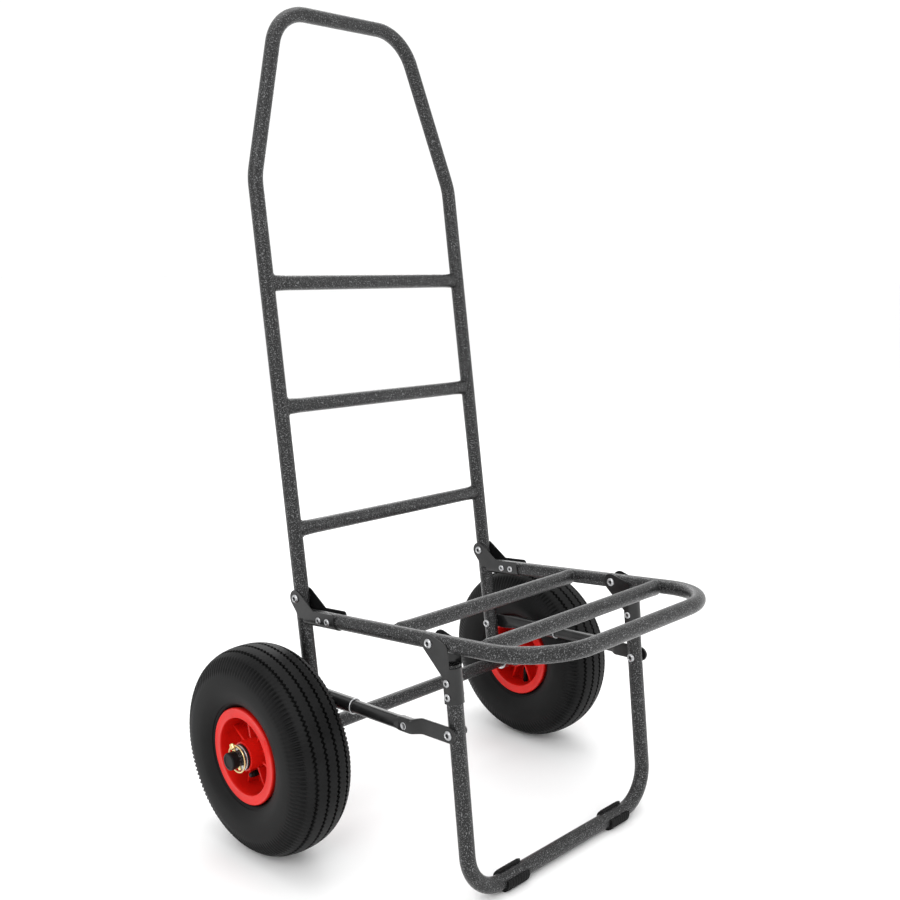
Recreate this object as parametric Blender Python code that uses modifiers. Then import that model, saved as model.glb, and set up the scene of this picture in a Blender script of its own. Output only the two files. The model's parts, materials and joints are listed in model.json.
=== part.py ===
"""Folding hand truck: a bent-tube back frame on two pneumatic wheels, with a
platform that folds up against it and a leg frame tied by two telescopic stays.

Units are metres and +Z is up. The platform side faces -Y. The origin is on the
ground, midway between the front and rear of the unfolded truck.
"""

import math

import bmesh
import bpy
from mathutils import Vector

# ---- Overall sizes -------------------------------------------------------
WHEEL_RADIUS = 0.130
TYRE_WIDTH = 0.086
TYRE_CLEARANCE = 0.036         # from a side tube's centre line to its tyre
FRAME_WIDTH = 0.340            # between the centre lines of the side tubes
FRAME_LENGTH = 0.914           # axle to top bar, along the uprights
HANDLE_WIDTH = 0.214           # at the top corners, before they are rounded
KINK_HEIGHT = 0.702            # axle to the bend where the handle starts to narrow
PLATFORM_REACH = 0.401         # platform pivot to front bar
LEG_PIVOT_REACH = 0.2395       # platform pivot to leg pivot

# ---- Angles --------------------------------------------------------------
LEAN = math.radians(8.64)      # uprights lean back
RISE = math.radians(6.11)      # platform rises towards its front
SPLAY = math.radians(6.83)     # leg bottom stands forward
PIN_TILT = math.radians(30.0)  # linch pins lean back

# ---- Tubes ---------------------------------------------------------------
TUBE_RADIUS = 0.0095
TUBE_WALL = 0.0013
AXLE_WALL = 0.0022
STAY_RADIUS = 0.0095
STAY_WALL = 0.0012
BEND_RADIUS = 0.060            # handle corners
LEG_BEND_RADIUS = 0.050
PLATFORM_BEND_RADIUS = 0.078
KINK_BEND_RADIUS = 0.075
SQUEEZE_LENGTH = 0.030         # flattened end of a rung or crossbar
SQUEEZE_DEPTH = 0.22           # share of the depth lost at the very end
SQUEEZE_SPREAD = 0.12          # share of the height gained there
TUBE_SIDES = 10
WHEEL_STEPS = 24
ROUND_STEPS = 16

# ---- Places along the uprights, measured from the axle --------------------
STAY_PIVOT_HEIGHT = 0.0616
PLATFORM_PIVOT_HEIGHT = 0.1726
RUNG_HEIGHTS = {"rung_lower": 0.2591, "rung_middle": 0.4151, "rung_upper": 0.5705}

# ---- Platform and leg ----------------------------------------------------
CROSSBAR_REACH = {"crossbar_rear": 0.1688, "crossbar_front": 0.3092}
FOLD_GAP = 0.004               # between layers of side tubes when folded
LEG_FOLD_GAP = 0.0047
PLATFORM_END_CLEARANCE = 0.0027  # between an upright and the platform tube's end
LEG_END_CLEARANCE = 0.0130     # between a platform side and the leg tube's end
STAY_ON_LEG = 0.1005           # stay rivet below the leg pivot

# ---- Sheet brackets ------------------------------------------------------
SHEET = 0.0012
EAR_RADIUS = 0.011
BRACKET_LENGTH = 0.073
BRACKET_TOP_RISE = 0.0015      # cheek edge above the platform tube
BRACKET_SLOPE_END = 0.033
LEG_BRACKET_LENGTH = 0.0665
LEG_WEB_START = 0.026
LEG_CHEEK_FRONT = 0.0055       # cheek edge in front of the leg's centre line
LEG_TAB_REAR = 0.0052          # tab edge behind it
LEG_SLOPE_END = 0.0365
LEG_CORNER = 0.006             # rounded corner in front of the ear
LEG_CORNER_RISE = 0.0005       # that corner, above the pivot
SLOPE_START = (-0.004, -0.0008)  # rear end of the upright bracket's lower edge
LEG_WEB_TAPER = 0.006
SQUARE_WEB = 0.15              # power of the cheeks' section above the leg's web
BRACKET_RIVETS = (0.0435, 0.0600)
LEG_BRACKET_RIVETS = (0.0425, 0.0585)

# ---- Rivets --------------------------------------------------------------
PIVOT_SHANK = 0.0032
PIVOT_HEAD = 0.0056
RIVET_SHANK = 0.0024
RIVET_HEAD = 0.0045
HEAD_HEIGHT = 0.0014
PIVOT_HEAD_HEIGHT = 0.0024
DOME_SHOULDER = 42             # degrees up the head's side where it is faceted

# ---- Stays ---------------------------------------------------------------
STAY_OUTER_LENGTH = 0.110      # pivot to open rim
STAY_INNER_START = 0.046
TONGUE_THICKNESS = 0.0030
TONGUE_START = 0.047           # before the leg rivet
CRIMP_LENGTH = 0.020
CRIMP_THICKNESS = 0.0125
CRIMP_TAPER = 0.006            # round tube closing into the crimp
TONGUE_TAPER = 0.010           # crimp closing into the tongue
TONGUE_POWER = 0.4             # section power of the flat ends
EAR_LENGTH = 0.012             # flat ear of the outer tube, beyond its pivot
EAR_SPREAD = 0.018             # over which it opens out to the round tube

# ---- Wheels --------------------------------------------------------------
RIM_RADIUS = 0.060
RIM_INSET = 0.007              # each face of the rim, inside the tyre's sides
RIM_LIP = 0.0475               # inner edge of the flange ring
HUB_RADIUS = 0.018
HUB_INSET = 0.0005             # each end of the hub, inside the rim's faces
HUB_BORE = 0.0133
BUSH_FLANGE = 0.002
BUSH_LENGTH = 0.016
BUSH_SETBACK = 0.002           # the flange is this much smaller than the hub
RIM_WALL = 0.0032
RIM_LIP_EDGE = 0.003           # thickness of the flange's edge
SEAT_WIDTH = 0.0045            # the tyre's bead rests on it
WELL_DEPTH = 0.007
WELL_SLOPE = 0.003             # from the seat down into the well
DISH_EDGE = 0.0124             # from the rim's face to where the barrel runs straight
RIB_COUNT = 8
RIB_THICKNESS = 0.003
RIB_HALF_WIDTH = 0.022
RIB_ROOT = 0.002               # how far each rib runs into the hub and the well
TYRE_WALL = 0.0055
BEAD_DROP = 0.003              # the carcass section sits this much low in the rim
TUBE_ROOM = 0.0008             # between the air tube and the tyre
TUBE_SKIN = 0.0018
VALVE_RADIUS = 0.004
VALVE_FROM_AXIS = 0.0275       # its end lies parallel to the axle
VALVE_INBOARD = 0.0075         # its run down from the air tube, behind the web
VALVE_OUTBOARD = 0.026
VALVE_BEND_RADIUS = 0.006
VALVE_ABOVE_RIM = 0.0045       # into the air tube
RIM_WEB = 0.005

# ---- Axle ends -----------------------------------------------------------
WASHER_THICKNESS = 0.002
WASHER_RADIUS = 0.016
SPACER_WALL = 0.003
PIN_RADIUS = 0.0022
PIN_SIDE_GAP = 0.0004
AXLE_END_BEYOND_PIN = 0.0105
CAP_WALL = 0.0009
CAP_SETBACK = 0.001            # between the pin and the cap's skirt
RING_RADIUS = 0.0165
RING_WIRE = 0.001
PIN_BELOW_AXLE = 0.0047
PIN_HEAD_RADIUS = 0.0036
PIN_NECK = 0.0024              # from the axle's surface to the head
PIN_ABOVE_RING = 0.0032
PIN_EDGE = 0.001
CAP_EDGE = 0.0008

# ---- Feet ----------------------------------------------------------------
PAD_THICKNESS = 0.0023
PAD_OUTER = 0.0135
PAD_WIDTH = 0.037
PAD_CENTRE = 0.100             # from the middle of the truck
PAD_START = math.radians(158)
PAD_END = math.radians(435)

# ---- Clearances ----------------------------------------------------------
GAP = 0.0003
SLIDE_GAP = 0.0003
STAY_SIDE_GAP = 0.0020         # lets a folded stay pass the bracket rivets' heads
BORE_GAP = 0.0005
CUT_MARGIN = 0.002             # how far a cutter runs past what it cuts

SIDES = {"left": -1, "right": 1}

# ---- Frame of reference worked out from the sizes --------------------------
HALF_WIDTH = FRAME_WIDTH / 2
WHEEL_TRACK = FRAME_WIDTH + TYRE_WIDTH + 2 * TYRE_CLEARANCE
RIM_WIDTH = TYRE_WIDTH - 2 * RIM_INSET
HUB_WIDTH = RIM_WIDTH - 2 * HUB_INSET
PLATFORM_DROP = 2 * TUBE_RADIUS + FOLD_GAP
LEG_DROP = 2 * TUBE_RADIUS + LEG_FOLD_GAP
PLATFORM_TUBE_START = TUBE_RADIUS + PLATFORM_END_CLEARANCE  # from the platform pivot
LEG_TUBE_START = TUBE_RADIUS + LEG_END_CLEARANCE            # below the leg pivot
CHEEK_INNER = TUBE_RADIUS + GAP
CHEEK_OUTER = CHEEK_INNER + SHEET
STAY_OFFSET = HALF_WIDTH + TUBE_RADIUS + STAY_SIDE_GAP + STAY_RADIUS
TONGUE_SHIFT = STAY_RADIUS - TONGUE_THICKNESS / 2
STAY_INNER_RADIUS = STAY_RADIUS - STAY_WALL - SLIDE_GAP

UP_UPRIGHT = Vector((0, math.sin(LEAN), math.cos(LEAN)))
ALONG_PLATFORM = Vector((0, -math.cos(RISE), math.sin(RISE)))
UP_PLATFORM = Vector((0, math.sin(RISE), math.cos(RISE)))
DOWN_LEG = Vector((0, -math.sin(SPLAY), -math.cos(SPLAY)))
FRONT_OF_LEG = Vector((0, -math.cos(SPLAY), math.sin(SPLAY)))


def axle_centre():
    """The axle's middle, with the truck's front and rear equally far from y = 0."""
    platform_pivot_y = PLATFORM_PIVOT_HEIGHT * math.sin(LEAN)
    front = platform_pivot_y - math.cos(RISE) * PLATFORM_REACH
    front += math.sin(RISE) * -PLATFORM_DROP - TUBE_RADIUS
    handle_rear = FRAME_LENGTH * math.sin(LEAN) + TUBE_RADIUS
    rear = max(handle_rear, WHEEL_RADIUS)
    return Vector((0, -(front + rear) / 2, WHEEL_RADIUS))


AXLE = axle_centre()
PLATFORM_PIVOT = AXLE + UP_UPRIGHT * PLATFORM_PIVOT_HEIGHT
STAY_PIVOT = AXLE + UP_UPRIGHT * STAY_PIVOT_HEIGHT
LEG_PIVOT = (PLATFORM_PIVOT + ALONG_PLATFORM * LEG_PIVOT_REACH
             - UP_PLATFORM * PLATFORM_DROP)
LEG_AXIS_TOP = LEG_PIVOT + FRONT_OF_LEG * LEG_DROP
LEG_LENGTH = (LEG_AXIS_TOP.z - TUBE_RADIUS - PAD_THICKNESS) / math.cos(SPLAY)
LEG_BOTTOM = LEG_AXIS_TOP + DOWN_LEG * LEG_LENGTH
STAY_RIVET = LEG_AXIS_TOP + DOWN_LEG * STAY_ON_LEG
STAY_LENGTH = (STAY_RIVET - STAY_PIVOT).length
ALONG_STAY = (STAY_RIVET - STAY_PIVOT).normalized()
STAY_RISE = math.atan2(ALONG_STAY.z, -ALONG_STAY.y)

HUB_FACE = WHEEL_TRACK / 2 + HUB_WIDTH / 2 + BUSH_FLANGE + GAP
WASHER_START = HUB_FACE + GAP
PIN_PLACE = WASHER_START + WASHER_THICKNESS + PIN_SIDE_GAP + PIN_HEAD_RADIUS
AXLE_HALF_LENGTH = PIN_PLACE + AXLE_END_BEYOND_PIN


# ---- Scene helpers -------------------------------------------------------
def clear_scene():
    for obj in list(bpy.data.objects):
        bpy.data.objects.remove(obj, do_unlink=True)


def make_collection(name):
    collection = bpy.data.collections.new(name)
    bpy.context.scene.collection.children.link(collection)
    return collection


clear_scene()
PARTS = make_collection("folding_hand_truck")
CUTTERS = make_collection("cutters")


def make_material(name, colour, roughness, metallic):
    material = bpy.data.materials.new(name)
    material.use_nodes = True
    shader = material.node_tree.nodes["Principled BSDF"]
    shader.inputs["Base Color"].default_value = (*colour, 1.0)
    shader.inputs["Roughness"].default_value = roughness
    shader.inputs["Metallic"].default_value = metallic
    return material


FINISHES = {
    "frame_paint": ((0.060, 0.062, 0.064), 0.38, 0.55),
    "bracket_paint": ((0.035, 0.036, 0.038), 0.32, 0.40),
    "zinc": ((0.72, 0.73, 0.75), 0.28, 1.00),
    "yellow_zinc": ((0.78, 0.66, 0.36), 0.30, 1.00),
    "tyre": ((0.018, 0.018, 0.019), 0.72, 0.00),
    "inner_tube": ((0.012, 0.012, 0.012), 0.60, 0.00),
    "rim_red": ((0.62, 0.025, 0.012), 0.28, 0.00),
    "black_plastic": ((0.015, 0.015, 0.016), 0.45, 0.00),
    "foot_rubber": ((0.020, 0.020, 0.021), 0.65, 0.00),
}


def own_material(node, finish):
    """Each sub-part has its own copy of its finish."""
    return make_material(node, *FINISHES[finish])


def empty(name, place, tilt=0.0):
    """A parent frame at a joint or station, turned about X by tilt."""
    obj = bpy.data.objects.new(name, None)
    obj.location = place
    obj.rotation_euler.x = tilt
    PARTS.objects.link(obj)
    bpy.context.view_layer.update()
    return obj


def add(name, mesh, parent, finish=None, place=(0, 0, 0), turn=(0, 0, 0)):
    """Link a mesh as a named sub-part, or as a cutter when it has no finish."""
    obj = bpy.data.objects.new(name, mesh)
    obj.parent = parent
    obj.location = place
    obj.rotation_euler = turn
    if finish is None:
        CUTTERS.objects.link(obj)
        obj.hide_render = True
        obj.display_type = "WIRE"
    else:
        PARTS.objects.link(obj)
        mesh.materials.append(own_material(name, finish))
        mesh.shade_smooth()
        mesh.set_sharp_from_angle(angle=math.radians(35))
    return obj


def cut(obj, cutter, operation="DIFFERENCE"):
    modifier = obj.modifiers.new(cutter.name, "BOOLEAN")
    modifier.operation = operation
    modifier.solver = "EXACT"
    modifier.object = cutter
    return modifier


def solidify(obj, thickness, offset):
    modifier = obj.modifiers.new("wall", "SOLIDIFY")
    modifier.thickness = thickness
    modifier.offset = offset
    modifier.use_even_offset = True
    return modifier


# ---- Shape helpers -------------------------------------------------------
def rounded(corners, step_deg=20.0):
    """Points of a path whose inner corners are rounded.

    Each corner is (point, radius); a radius of 0 keeps the corner sharp.
    """
    points = [Vector(corner) for corner, _ in corners]
    path = []
    for index, (corner, radius) in enumerate(corners):
        here = points[index]
        if radius == 0 or index in (0, len(corners) - 1):
            path.append(here)
            continue
        path.extend(fillet(points[index - 1], here, points[index + 1], radius, step_deg))
    return path


def fillet(before, corner, after, radius, step_deg):
    """Arc of the given radius that rounds the corner between two straight runs."""
    back = (before - corner).normalized()
    onward = (after - corner).normalized()
    half = back.angle(onward) / 2
    reach = radius / math.tan(half)
    middle = (back + onward).normalized()
    centre = corner + middle * (radius / math.sin(half))
    start = corner + back * reach - centre
    swing = math.pi - 2 * half
    count = max(2, round(math.degrees(swing) / step_deg))
    sideways = (onward - back).normalized()
    points = []
    for number in range(count + 1):
        turn = -swing / 2 + swing * number / count
        points.append(centre + (sideways * math.sin(turn) - middle * math.cos(turn))
                      * start.length)
    return points


def curve_mesh(name, curve):
    """Turn a curve into a closed mesh, with its caps joined to its sides."""
    guide = bpy.data.objects.new(name, curve)
    bpy.context.scene.collection.objects.link(guide)
    graph = bpy.context.evaluated_depsgraph_get()
    mesh = bpy.data.meshes.new_from_object(guide.evaluated_get(graph))
    bpy.data.objects.remove(guide, do_unlink=True)
    work = bmesh.new()
    work.from_mesh(mesh)
    bmesh.ops.remove_doubles(work, verts=work.verts, dist=1e-6)
    work.to_mesh(mesh)
    work.free()
    mesh.materials.clear()
    return mesh


def tube_surface(name, path, radius, caps=False):
    """Outside of a round tube along a path, open at its ends unless capped."""
    curve = bpy.data.curves.new(name, "CURVE")
    curve.dimensions = "3D"
    curve.bevel_depth = radius
    curve.bevel_resolution = (TUBE_SIDES - 4) // 2
    curve.use_fill_caps = caps
    spline = curve.splines.new("POLY")
    spline.points.add(len(path) - 1)
    for point, place in zip(spline.points, path):
        point.co = (*place, 1.0)
    return curve_mesh(name, curve)


def plate_mesh(name, outline, half_thickness):
    """Flat plate with the given outline in its local XY plane."""
    curve = bpy.data.curves.new(name, "CURVE")
    curve.dimensions = "2D"
    curve.fill_mode = "BOTH"
    curve.extrude = half_thickness
    spline = curve.splines.new("POLY")
    spline.points.add(len(outline) - 1)
    for point, place in zip(spline.points, outline):
        point.co = (place[0], place[1], 0.0, 1.0)
    spline.use_cyclic_u = True
    return curve_mesh(name, curve)


def rod(name, radius, start, end, parent, sides=16, turn=(0, math.pi / 2, 0)):
    """Cutter: a cylinder between two places, along the parent's X unless turned."""
    start = Vector(start)
    end = Vector(end)
    mesh = bpy.data.meshes.new(name)
    work = bmesh.new()
    bmesh.ops.create_cone(work, cap_ends=True, segments=sides, radius1=radius,
                          radius2=radius, depth=(end - start).length)
    work.to_mesh(mesh)
    work.free()
    return add(name, mesh, parent, place=(start + end) / 2, turn=turn)


def cross_drill(name, radius, parent, y, z):
    """Cutter: one hole right across both sides of the truck."""
    reach = STAY_OFFSET + STAY_RADIUS + CUT_MARGIN
    return rod(name, radius, (-reach, y, z), (reach, y, z), parent, sides=8)


def turned(name, profile, parent, finish, place=(0, 0, 0), turn=(0, math.pi / 2, 0),
           steps=ROUND_STEPS, closed=True, cavity=()):
    """Turned piece: (radius, height) points down the outer side, then back up.

    A cavity is a second loop inside a closed profile, running the other way.
    """
    mesh = bpy.data.meshes.new(name)
    vertices = []
    edges = []
    for loop in (profile, cavity):
        start = len(vertices)
        vertices.extend((radius, 0.0, height) for radius, height in loop)
        edges.extend((start + n, start + n + 1) for n in range(len(loop) - 1))
        if closed and loop:
            edges.append((start + len(loop) - 1, start))
    mesh.from_pydata(vertices, edges, [])
    obj = add(name, mesh, parent, finish, place, turn)
    screw = obj.modifiers.new("turn", "SCREW")
    screw.axis = "Z"
    screw.angle = math.tau
    screw.steps = steps
    screw.render_steps = steps
    screw.use_merge_vertices = True
    screw.merge_threshold = 1e-6
    screw.use_normal_calculate = False
    screw.use_smooth_shade = True
    return obj


def ring_profile(inner, outer, low, high):
    """Closed section of a plain ring."""
    return [(outer, high), (outer, low), (inner, low), (inner, high)]


def loft(name, stations, parent, finish, place, sides=12):
    """Solid bar along -Y through sections that change shape.

    A station is (distance, half height, half thickness, sideways shift, power);
    power 1 is an ellipse and smaller powers are flatter ovals.
    """
    work = bmesh.new()
    rings = []
    for distance, height, thickness, shift, power in stations:
        ring = []
        for number in range(sides):
            angle = math.tau * (number + 0.5) / sides
            across = math.copysign(abs(math.cos(angle)) ** power, math.cos(angle))
            up = math.copysign(abs(math.sin(angle)) ** power, math.sin(angle))
            ring.append(work.verts.new((shift + thickness * across, -distance,
                                        height * up)))
        rings.append(ring)
    for first, second in zip(rings, rings[1:]):
        for number in range(sides):
            after = (number + 1) % sides
            work.faces.new((first[number], first[after], second[after], second[number]))
    work.faces.new(rings[0])
    work.faces.new(rings[-1])
    bmesh.ops.recalc_face_normals(work, faces=work.faces)
    mesh = bpy.data.meshes.new(name)
    work.to_mesh(mesh)
    work.free()
    return add(name, mesh, parent, finish, place)


def ear_arc(centre, radius, before, after, count=5):
    """Arc round a pivot that runs tangent to the lines from and to two corners."""
    centre = Vector(centre)
    first = Vector(before) - centre
    last = Vector(after) - centre
    start = math.atan2(first.y, first.x) - math.acos(radius / first.length)
    end = math.atan2(last.y, last.x) + math.acos(radius / last.length)
    while end > start:
        end -= math.tau
    angles = [start + (end - start) * number / count for number in range(count + 1)]
    return [centre + Vector((math.cos(a), math.sin(a))) * radius for a in angles]


def saddle_surface(name, rows, opening):
    """Sheet folded round a tube along Y: a web below and flat cheeks above.

    A row is (place along Y, power); power 1 makes the web half round and a small
    power squares it, so that the cheeks stay flat beyond the tube's middle.
    """
    radius = CHEEK_INNER
    half_turn = 8
    work = bmesh.new()
    strips = []
    for place, power in rows:
        section = [(radius, opening)]
        for number in range(half_turn + 1):
            angle = math.pi * number / half_turn
            across = math.copysign(abs(math.cos(angle)) ** power, math.cos(angle))
            down = abs(math.sin(angle)) ** power if 0 < number < half_turn else 0.0
            if number == half_turn / 2:
                across = 0.0
            section.append((radius * across, -radius * down))
        section.append((-radius, opening))
        strips.append([work.verts.new((x, place, z)) for x, z in section])
    for near, far in zip(strips, strips[1:]):
        for number in range(len(near) - 1):
            work.faces.new((near[number], near[number + 1], far[number + 1], far[number]))
    mesh = bpy.data.meshes.new(name)
    work.to_mesh(mesh)
    work.free()
    return mesh


# ---- Parent frames, one on each joint axis -----------------------------------
BACK = empty("back_frame_axis", AXLE, -LEAN)
PLATFORM = empty("platform_axis", PLATFORM_PIVOT, -RISE)
LEG = empty("leg_axis", LEG_PIVOT, -SPLAY)
FLOOR = empty("foot_level", LEG_BOTTOM)
AXLE_FRAME = empty("axle_axis", AXLE)

# ---- Holes and copes shared by the pieces they pass through --------------------
PIVOT_HOLE = PIVOT_SHANK + GAP
RIVET_HOLE = RIVET_SHANK + GAP
PLATFORM_HOLE = cross_drill("platform_pivot_hole", PIVOT_HOLE, PLATFORM, 0, 0)
LEG_HOLE = cross_drill("leg_pivot_hole", PIVOT_HOLE, LEG, 0, 0)
STAY_HOLE = cross_drill("stay_pivot_hole", PIVOT_HOLE, BACK, 0, STAY_PIVOT_HEIGHT)
STAY_RIVET_HOLE = cross_drill("stay_rivet_hole", PIVOT_HOLE, LEG, -LEG_DROP, -STAY_ON_LEG)
BRACKET_HOLES = [
    cross_drill("bracket_rivet_hole_%d" % number, RIVET_HOLE, PLATFORM, -reach, -PLATFORM_DROP)
    for number, reach in enumerate(BRACKET_RIVETS)]
LEG_BRACKET_HOLES = [
    cross_drill("leg_rivet_hole_%d" % number, RIVET_HOLE, LEG, -LEG_DROP, -drop)
    for number, drop in enumerate(LEG_BRACKET_RIVETS)]
AXLE_COPE = rod("axle_cope", TUBE_RADIUS + GAP, (-AXLE_HALF_LENGTH, 0, 0),
                (AXLE_HALF_LENGTH, 0, 0), BACK)


def side_copes(name, parent, z, start, end, turn):
    """Cutters: a pair of rods that shape cross tubes to fit against side tubes."""
    copes = []
    for side, sign in SIDES.items():
        x = sign * HALF_WIDTH
        copes.append(rod("%s_%s" % (name, side), TUBE_RADIUS + GAP, (x, start, z),
                         (x, end, z), parent, turn=turn))
    return copes


PLATFORM_COPES = side_copes("platform_cope", PLATFORM, -PLATFORM_DROP, 0,
                            -PLATFORM_REACH, (math.pi / 2, 0, 0))


def upright_copes():
    copes = []
    for side, sign in SIDES.items():
        x = sign * HALF_WIDTH
        copes.append(rod("upright_cope_%s" % side, TUBE_RADIUS + GAP, (x, 0, 0),
                         (x, 0, KINK_HEIGHT), BACK, turn=(0, 0, 0)))
    return copes


UPRIGHT_COPES = upright_copes()


# ---- Back frame ----------------------------------------------------------
def build_back_frame():
    """One bent tube: up one side, over the handle and down the other."""
    top = HANDLE_WIDTH / 2
    path = rounded([
        ((-HALF_WIDTH, 0, 0), 0),
        ((-HALF_WIDTH, 0, KINK_HEIGHT), KINK_BEND_RADIUS),
        ((-top, 0, FRAME_LENGTH), BEND_RADIUS),
        ((top, 0, FRAME_LENGTH), BEND_RADIUS),
        ((HALF_WIDTH, 0, KINK_HEIGHT), KINK_BEND_RADIUS),
        ((HALF_WIDTH, 0, 0), 0)])
    mesh = tube_surface("back_frame_tube", path, TUBE_RADIUS)
    obj = add("back_frame_tube", mesh, BACK, "frame_paint")
    solidify(obj, TUBE_WALL, -1)
    cut(obj, AXLE_COPE)
    cut(obj, PLATFORM_HOLE)
    cut(obj, STAY_HOLE)


def flattened_cross_tube(name, parent, place, copes):
    """Cross tube whose ends are squeezed front to back, then coped to the side tubes."""
    straight = HALF_WIDTH - SQUEEZE_LENGTH
    path = [(x, 0, 0) for x in (-HALF_WIDTH, -straight, straight, HALF_WIDTH)]
    mesh = tube_surface(name, path, TUBE_RADIUS)
    for vertex in mesh.vertices:
        from_end = HALF_WIDTH - abs(vertex.co.x)
        squeeze = max(0.0, 1 - from_end / SQUEEZE_LENGTH)
        vertex.co.y *= 1 - SQUEEZE_DEPTH * squeeze
        vertex.co.z *= 1 + SQUEEZE_SPREAD * squeeze
    obj = add(name, mesh, parent, "frame_paint", place)
    solidify(obj, TUBE_WALL, -1)
    for cope in copes:
        cut(obj, cope)


def build_rungs():
    for name, height in RUNG_HEIGHTS.items():
        flattened_cross_tube(name, BACK, (0, 0, height), UPRIGHT_COPES)


# ---- Rivets --------------------------------------------------------------
def dome(radius, height, base, sign):
    """Outer points of a rivet head, from its crown to its edge."""
    shoulder = math.radians(DOME_SHOULDER)
    return [(0.0, base + sign * height),
            (radius * math.cos(shoulder), base + sign * height * math.sin(shoulder)),
            (radius, base)]


def rivet(name, parent, y, z, shank, head, height, x_low, x_high, low_head=True,
          high_head=True):
    """Rivet along X with its shoulders at x_low and x_high."""
    profile = dome(head, height, x_high, 1) if high_head else [(0.0, x_high)]
    profile.append((shank, x_high))
    profile.append((shank, x_low))
    if low_head:
        profile.extend(reversed(dome(head, height, x_low, -1)))
    else:
        profile.append((0.0, x_low))
    return turned(name, profile, parent, "zinc", place=(0, y, z), steps=8, closed=False)


def clamped_rivet(name, parent, side, y, z, shank, head, height):
    """Rivet through a tube and the two cheeks beside it."""
    centre = SIDES[side] * HALF_WIDTH
    reach = CHEEK_OUTER + GAP
    return rivet(name, parent, y, z, shank, head, height, centre - reach, centre + reach)


# ---- Platform ------------------------------------------------------------
def build_platform_tube():
    path = rounded([
        ((-HALF_WIDTH, -PLATFORM_TUBE_START, 0), 0),
        ((-HALF_WIDTH, -PLATFORM_REACH, 0), PLATFORM_BEND_RADIUS),
        ((HALF_WIDTH, -PLATFORM_REACH, 0), PLATFORM_BEND_RADIUS),
        ((HALF_WIDTH, -PLATFORM_TUBE_START, 0), 0)])
    mesh = tube_surface("platform_tube", path, TUBE_RADIUS)
    obj = add("platform_tube", mesh, PLATFORM, "frame_paint", (0, 0, -PLATFORM_DROP))
    solidify(obj, TUBE_WALL, -1)
    for hole in [*BRACKET_HOLES, LEG_HOLE]:
        cut(obj, hole)


def build_crossbars():
    for name, reach in CROSSBAR_REACH.items():
        flattened_cross_tube(name, PLATFORM, (0, -reach, -PLATFORM_DROP), PLATFORM_COPES)


def side_plate(name, outline, centre, parent):
    """Cutter: a plate across X with its outline in the parent's YZ plane."""
    mesh = plate_mesh(name, outline, CHEEK_OUTER + CUT_MARGIN)
    return add(name, mesh, parent, place=(centre, 0, 0), turn=(math.pi / 2, 0, math.pi / 2))


def upright_bracket_outline():
    """Cheek outline in the platform frame, from its lower front corner upwards."""
    cheek_top = -PLATFORM_DROP + TUBE_RADIUS + BRACKET_TOP_RISE
    web_bottom = -PLATFORM_DROP - CHEEK_OUTER - CUT_MARGIN
    rear_low = Vector(SLOPE_START) + Vector((0, -PLATFORM_DROP))
    slope_end = Vector((-BRACKET_SLOPE_END, cheek_top))
    ear = ear_arc((0, 0), EAR_RADIUS, slope_end, rear_low)
    start = -PLATFORM_TUBE_START
    return [
        Vector((-BRACKET_LENGTH, web_bottom)),
        Vector((-BRACKET_LENGTH, cheek_top)),
        slope_end,
        *ear,
        rear_low,
        Vector((start, rear_low.y)),
        Vector((start, web_bottom))]


def build_upright_brackets():
    """Folded sheet round the rear end of each platform side, with ears at the pivot."""
    for side, sign in SIDES.items():
        name = "upright_bracket_%s" % side
        centre = sign * HALF_WIDTH
        rows = [(2 * EAR_RADIUS, 1), (-BRACKET_LENGTH - CUT_MARGIN, 1)]
        surface = saddle_surface(name, rows, PLATFORM_DROP + 2 * EAR_RADIUS)
        obj = add(name, surface, PLATFORM, "bracket_paint", (centre, 0, -PLATFORM_DROP))
        solidify(obj, SHEET, -1)
        outline = side_plate("%s_outline" % name, upright_bracket_outline(), centre, PLATFORM)
        cut(obj, outline, "INTERSECT")
        for hole in [PLATFORM_HOLE, *BRACKET_HOLES]:
            cut(obj, hole)
        clamped_rivet("platform_pivot_rivet_%s" % side, PLATFORM, side, 0, 0,
                      PIVOT_SHANK, PIVOT_HEAD, PIVOT_HEAD_HEIGHT)
        for place, reach in zip(("rear", "front"), BRACKET_RIVETS):
            clamped_rivet("bracket_rivet_%s_%s" % (place, side), PLATFORM, side, -reach,
                          -PLATFORM_DROP, RIVET_SHANK, RIVET_HEAD, HEAD_HEIGHT)


# ---- Leg frame -----------------------------------------------------------
def build_leg_tube():
    path = rounded([
        ((-HALF_WIDTH, 0, -LEG_TUBE_START), 0),
        ((-HALF_WIDTH, 0, -LEG_LENGTH), LEG_BEND_RADIUS),
        ((HALF_WIDTH, 0, -LEG_LENGTH), LEG_BEND_RADIUS),
        ((HALF_WIDTH, 0, -LEG_TUBE_START), 0)])
    mesh = tube_surface("leg_tube", path, TUBE_RADIUS)
    obj = add("leg_tube", mesh, LEG, "frame_paint", (0, -LEG_DROP, 0))
    solidify(obj, TUBE_WALL, -1)
    for hole in [*LEG_BRACKET_HOLES, STAY_RIVET_HOLE]:
        cut(obj, hole)


def leg_bracket_outline():
    """Cheek outline in the leg frame: an ear at the pivot and a tab down the leg."""
    cheek_front = -LEG_DROP - LEG_CHEEK_FRONT
    web_front = -LEG_DROP - CHEEK_OUTER - CUT_MARGIN
    tab_rear = -LEG_DROP + LEG_TAB_REAR
    slope_end = Vector((tab_rear, -LEG_SLOPE_END))
    front = Vector((cheek_front, LEG_CORNER_RISE))
    ear = ear_arc((0, 0), EAR_RADIUS, front, slope_end)
    web_top = Vector((cheek_front, -LEG_WEB_START))
    corner = fillet(ear[0], front, web_top, LEG_CORNER, 30)
    return [
        slope_end,
        *reversed(ear),
        *corner,
        web_top,
        Vector((web_front, -LEG_WEB_START)),
        Vector((web_front, -LEG_BRACKET_LENGTH)),
        Vector((tab_rear, -LEG_BRACKET_LENGTH))]


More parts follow.
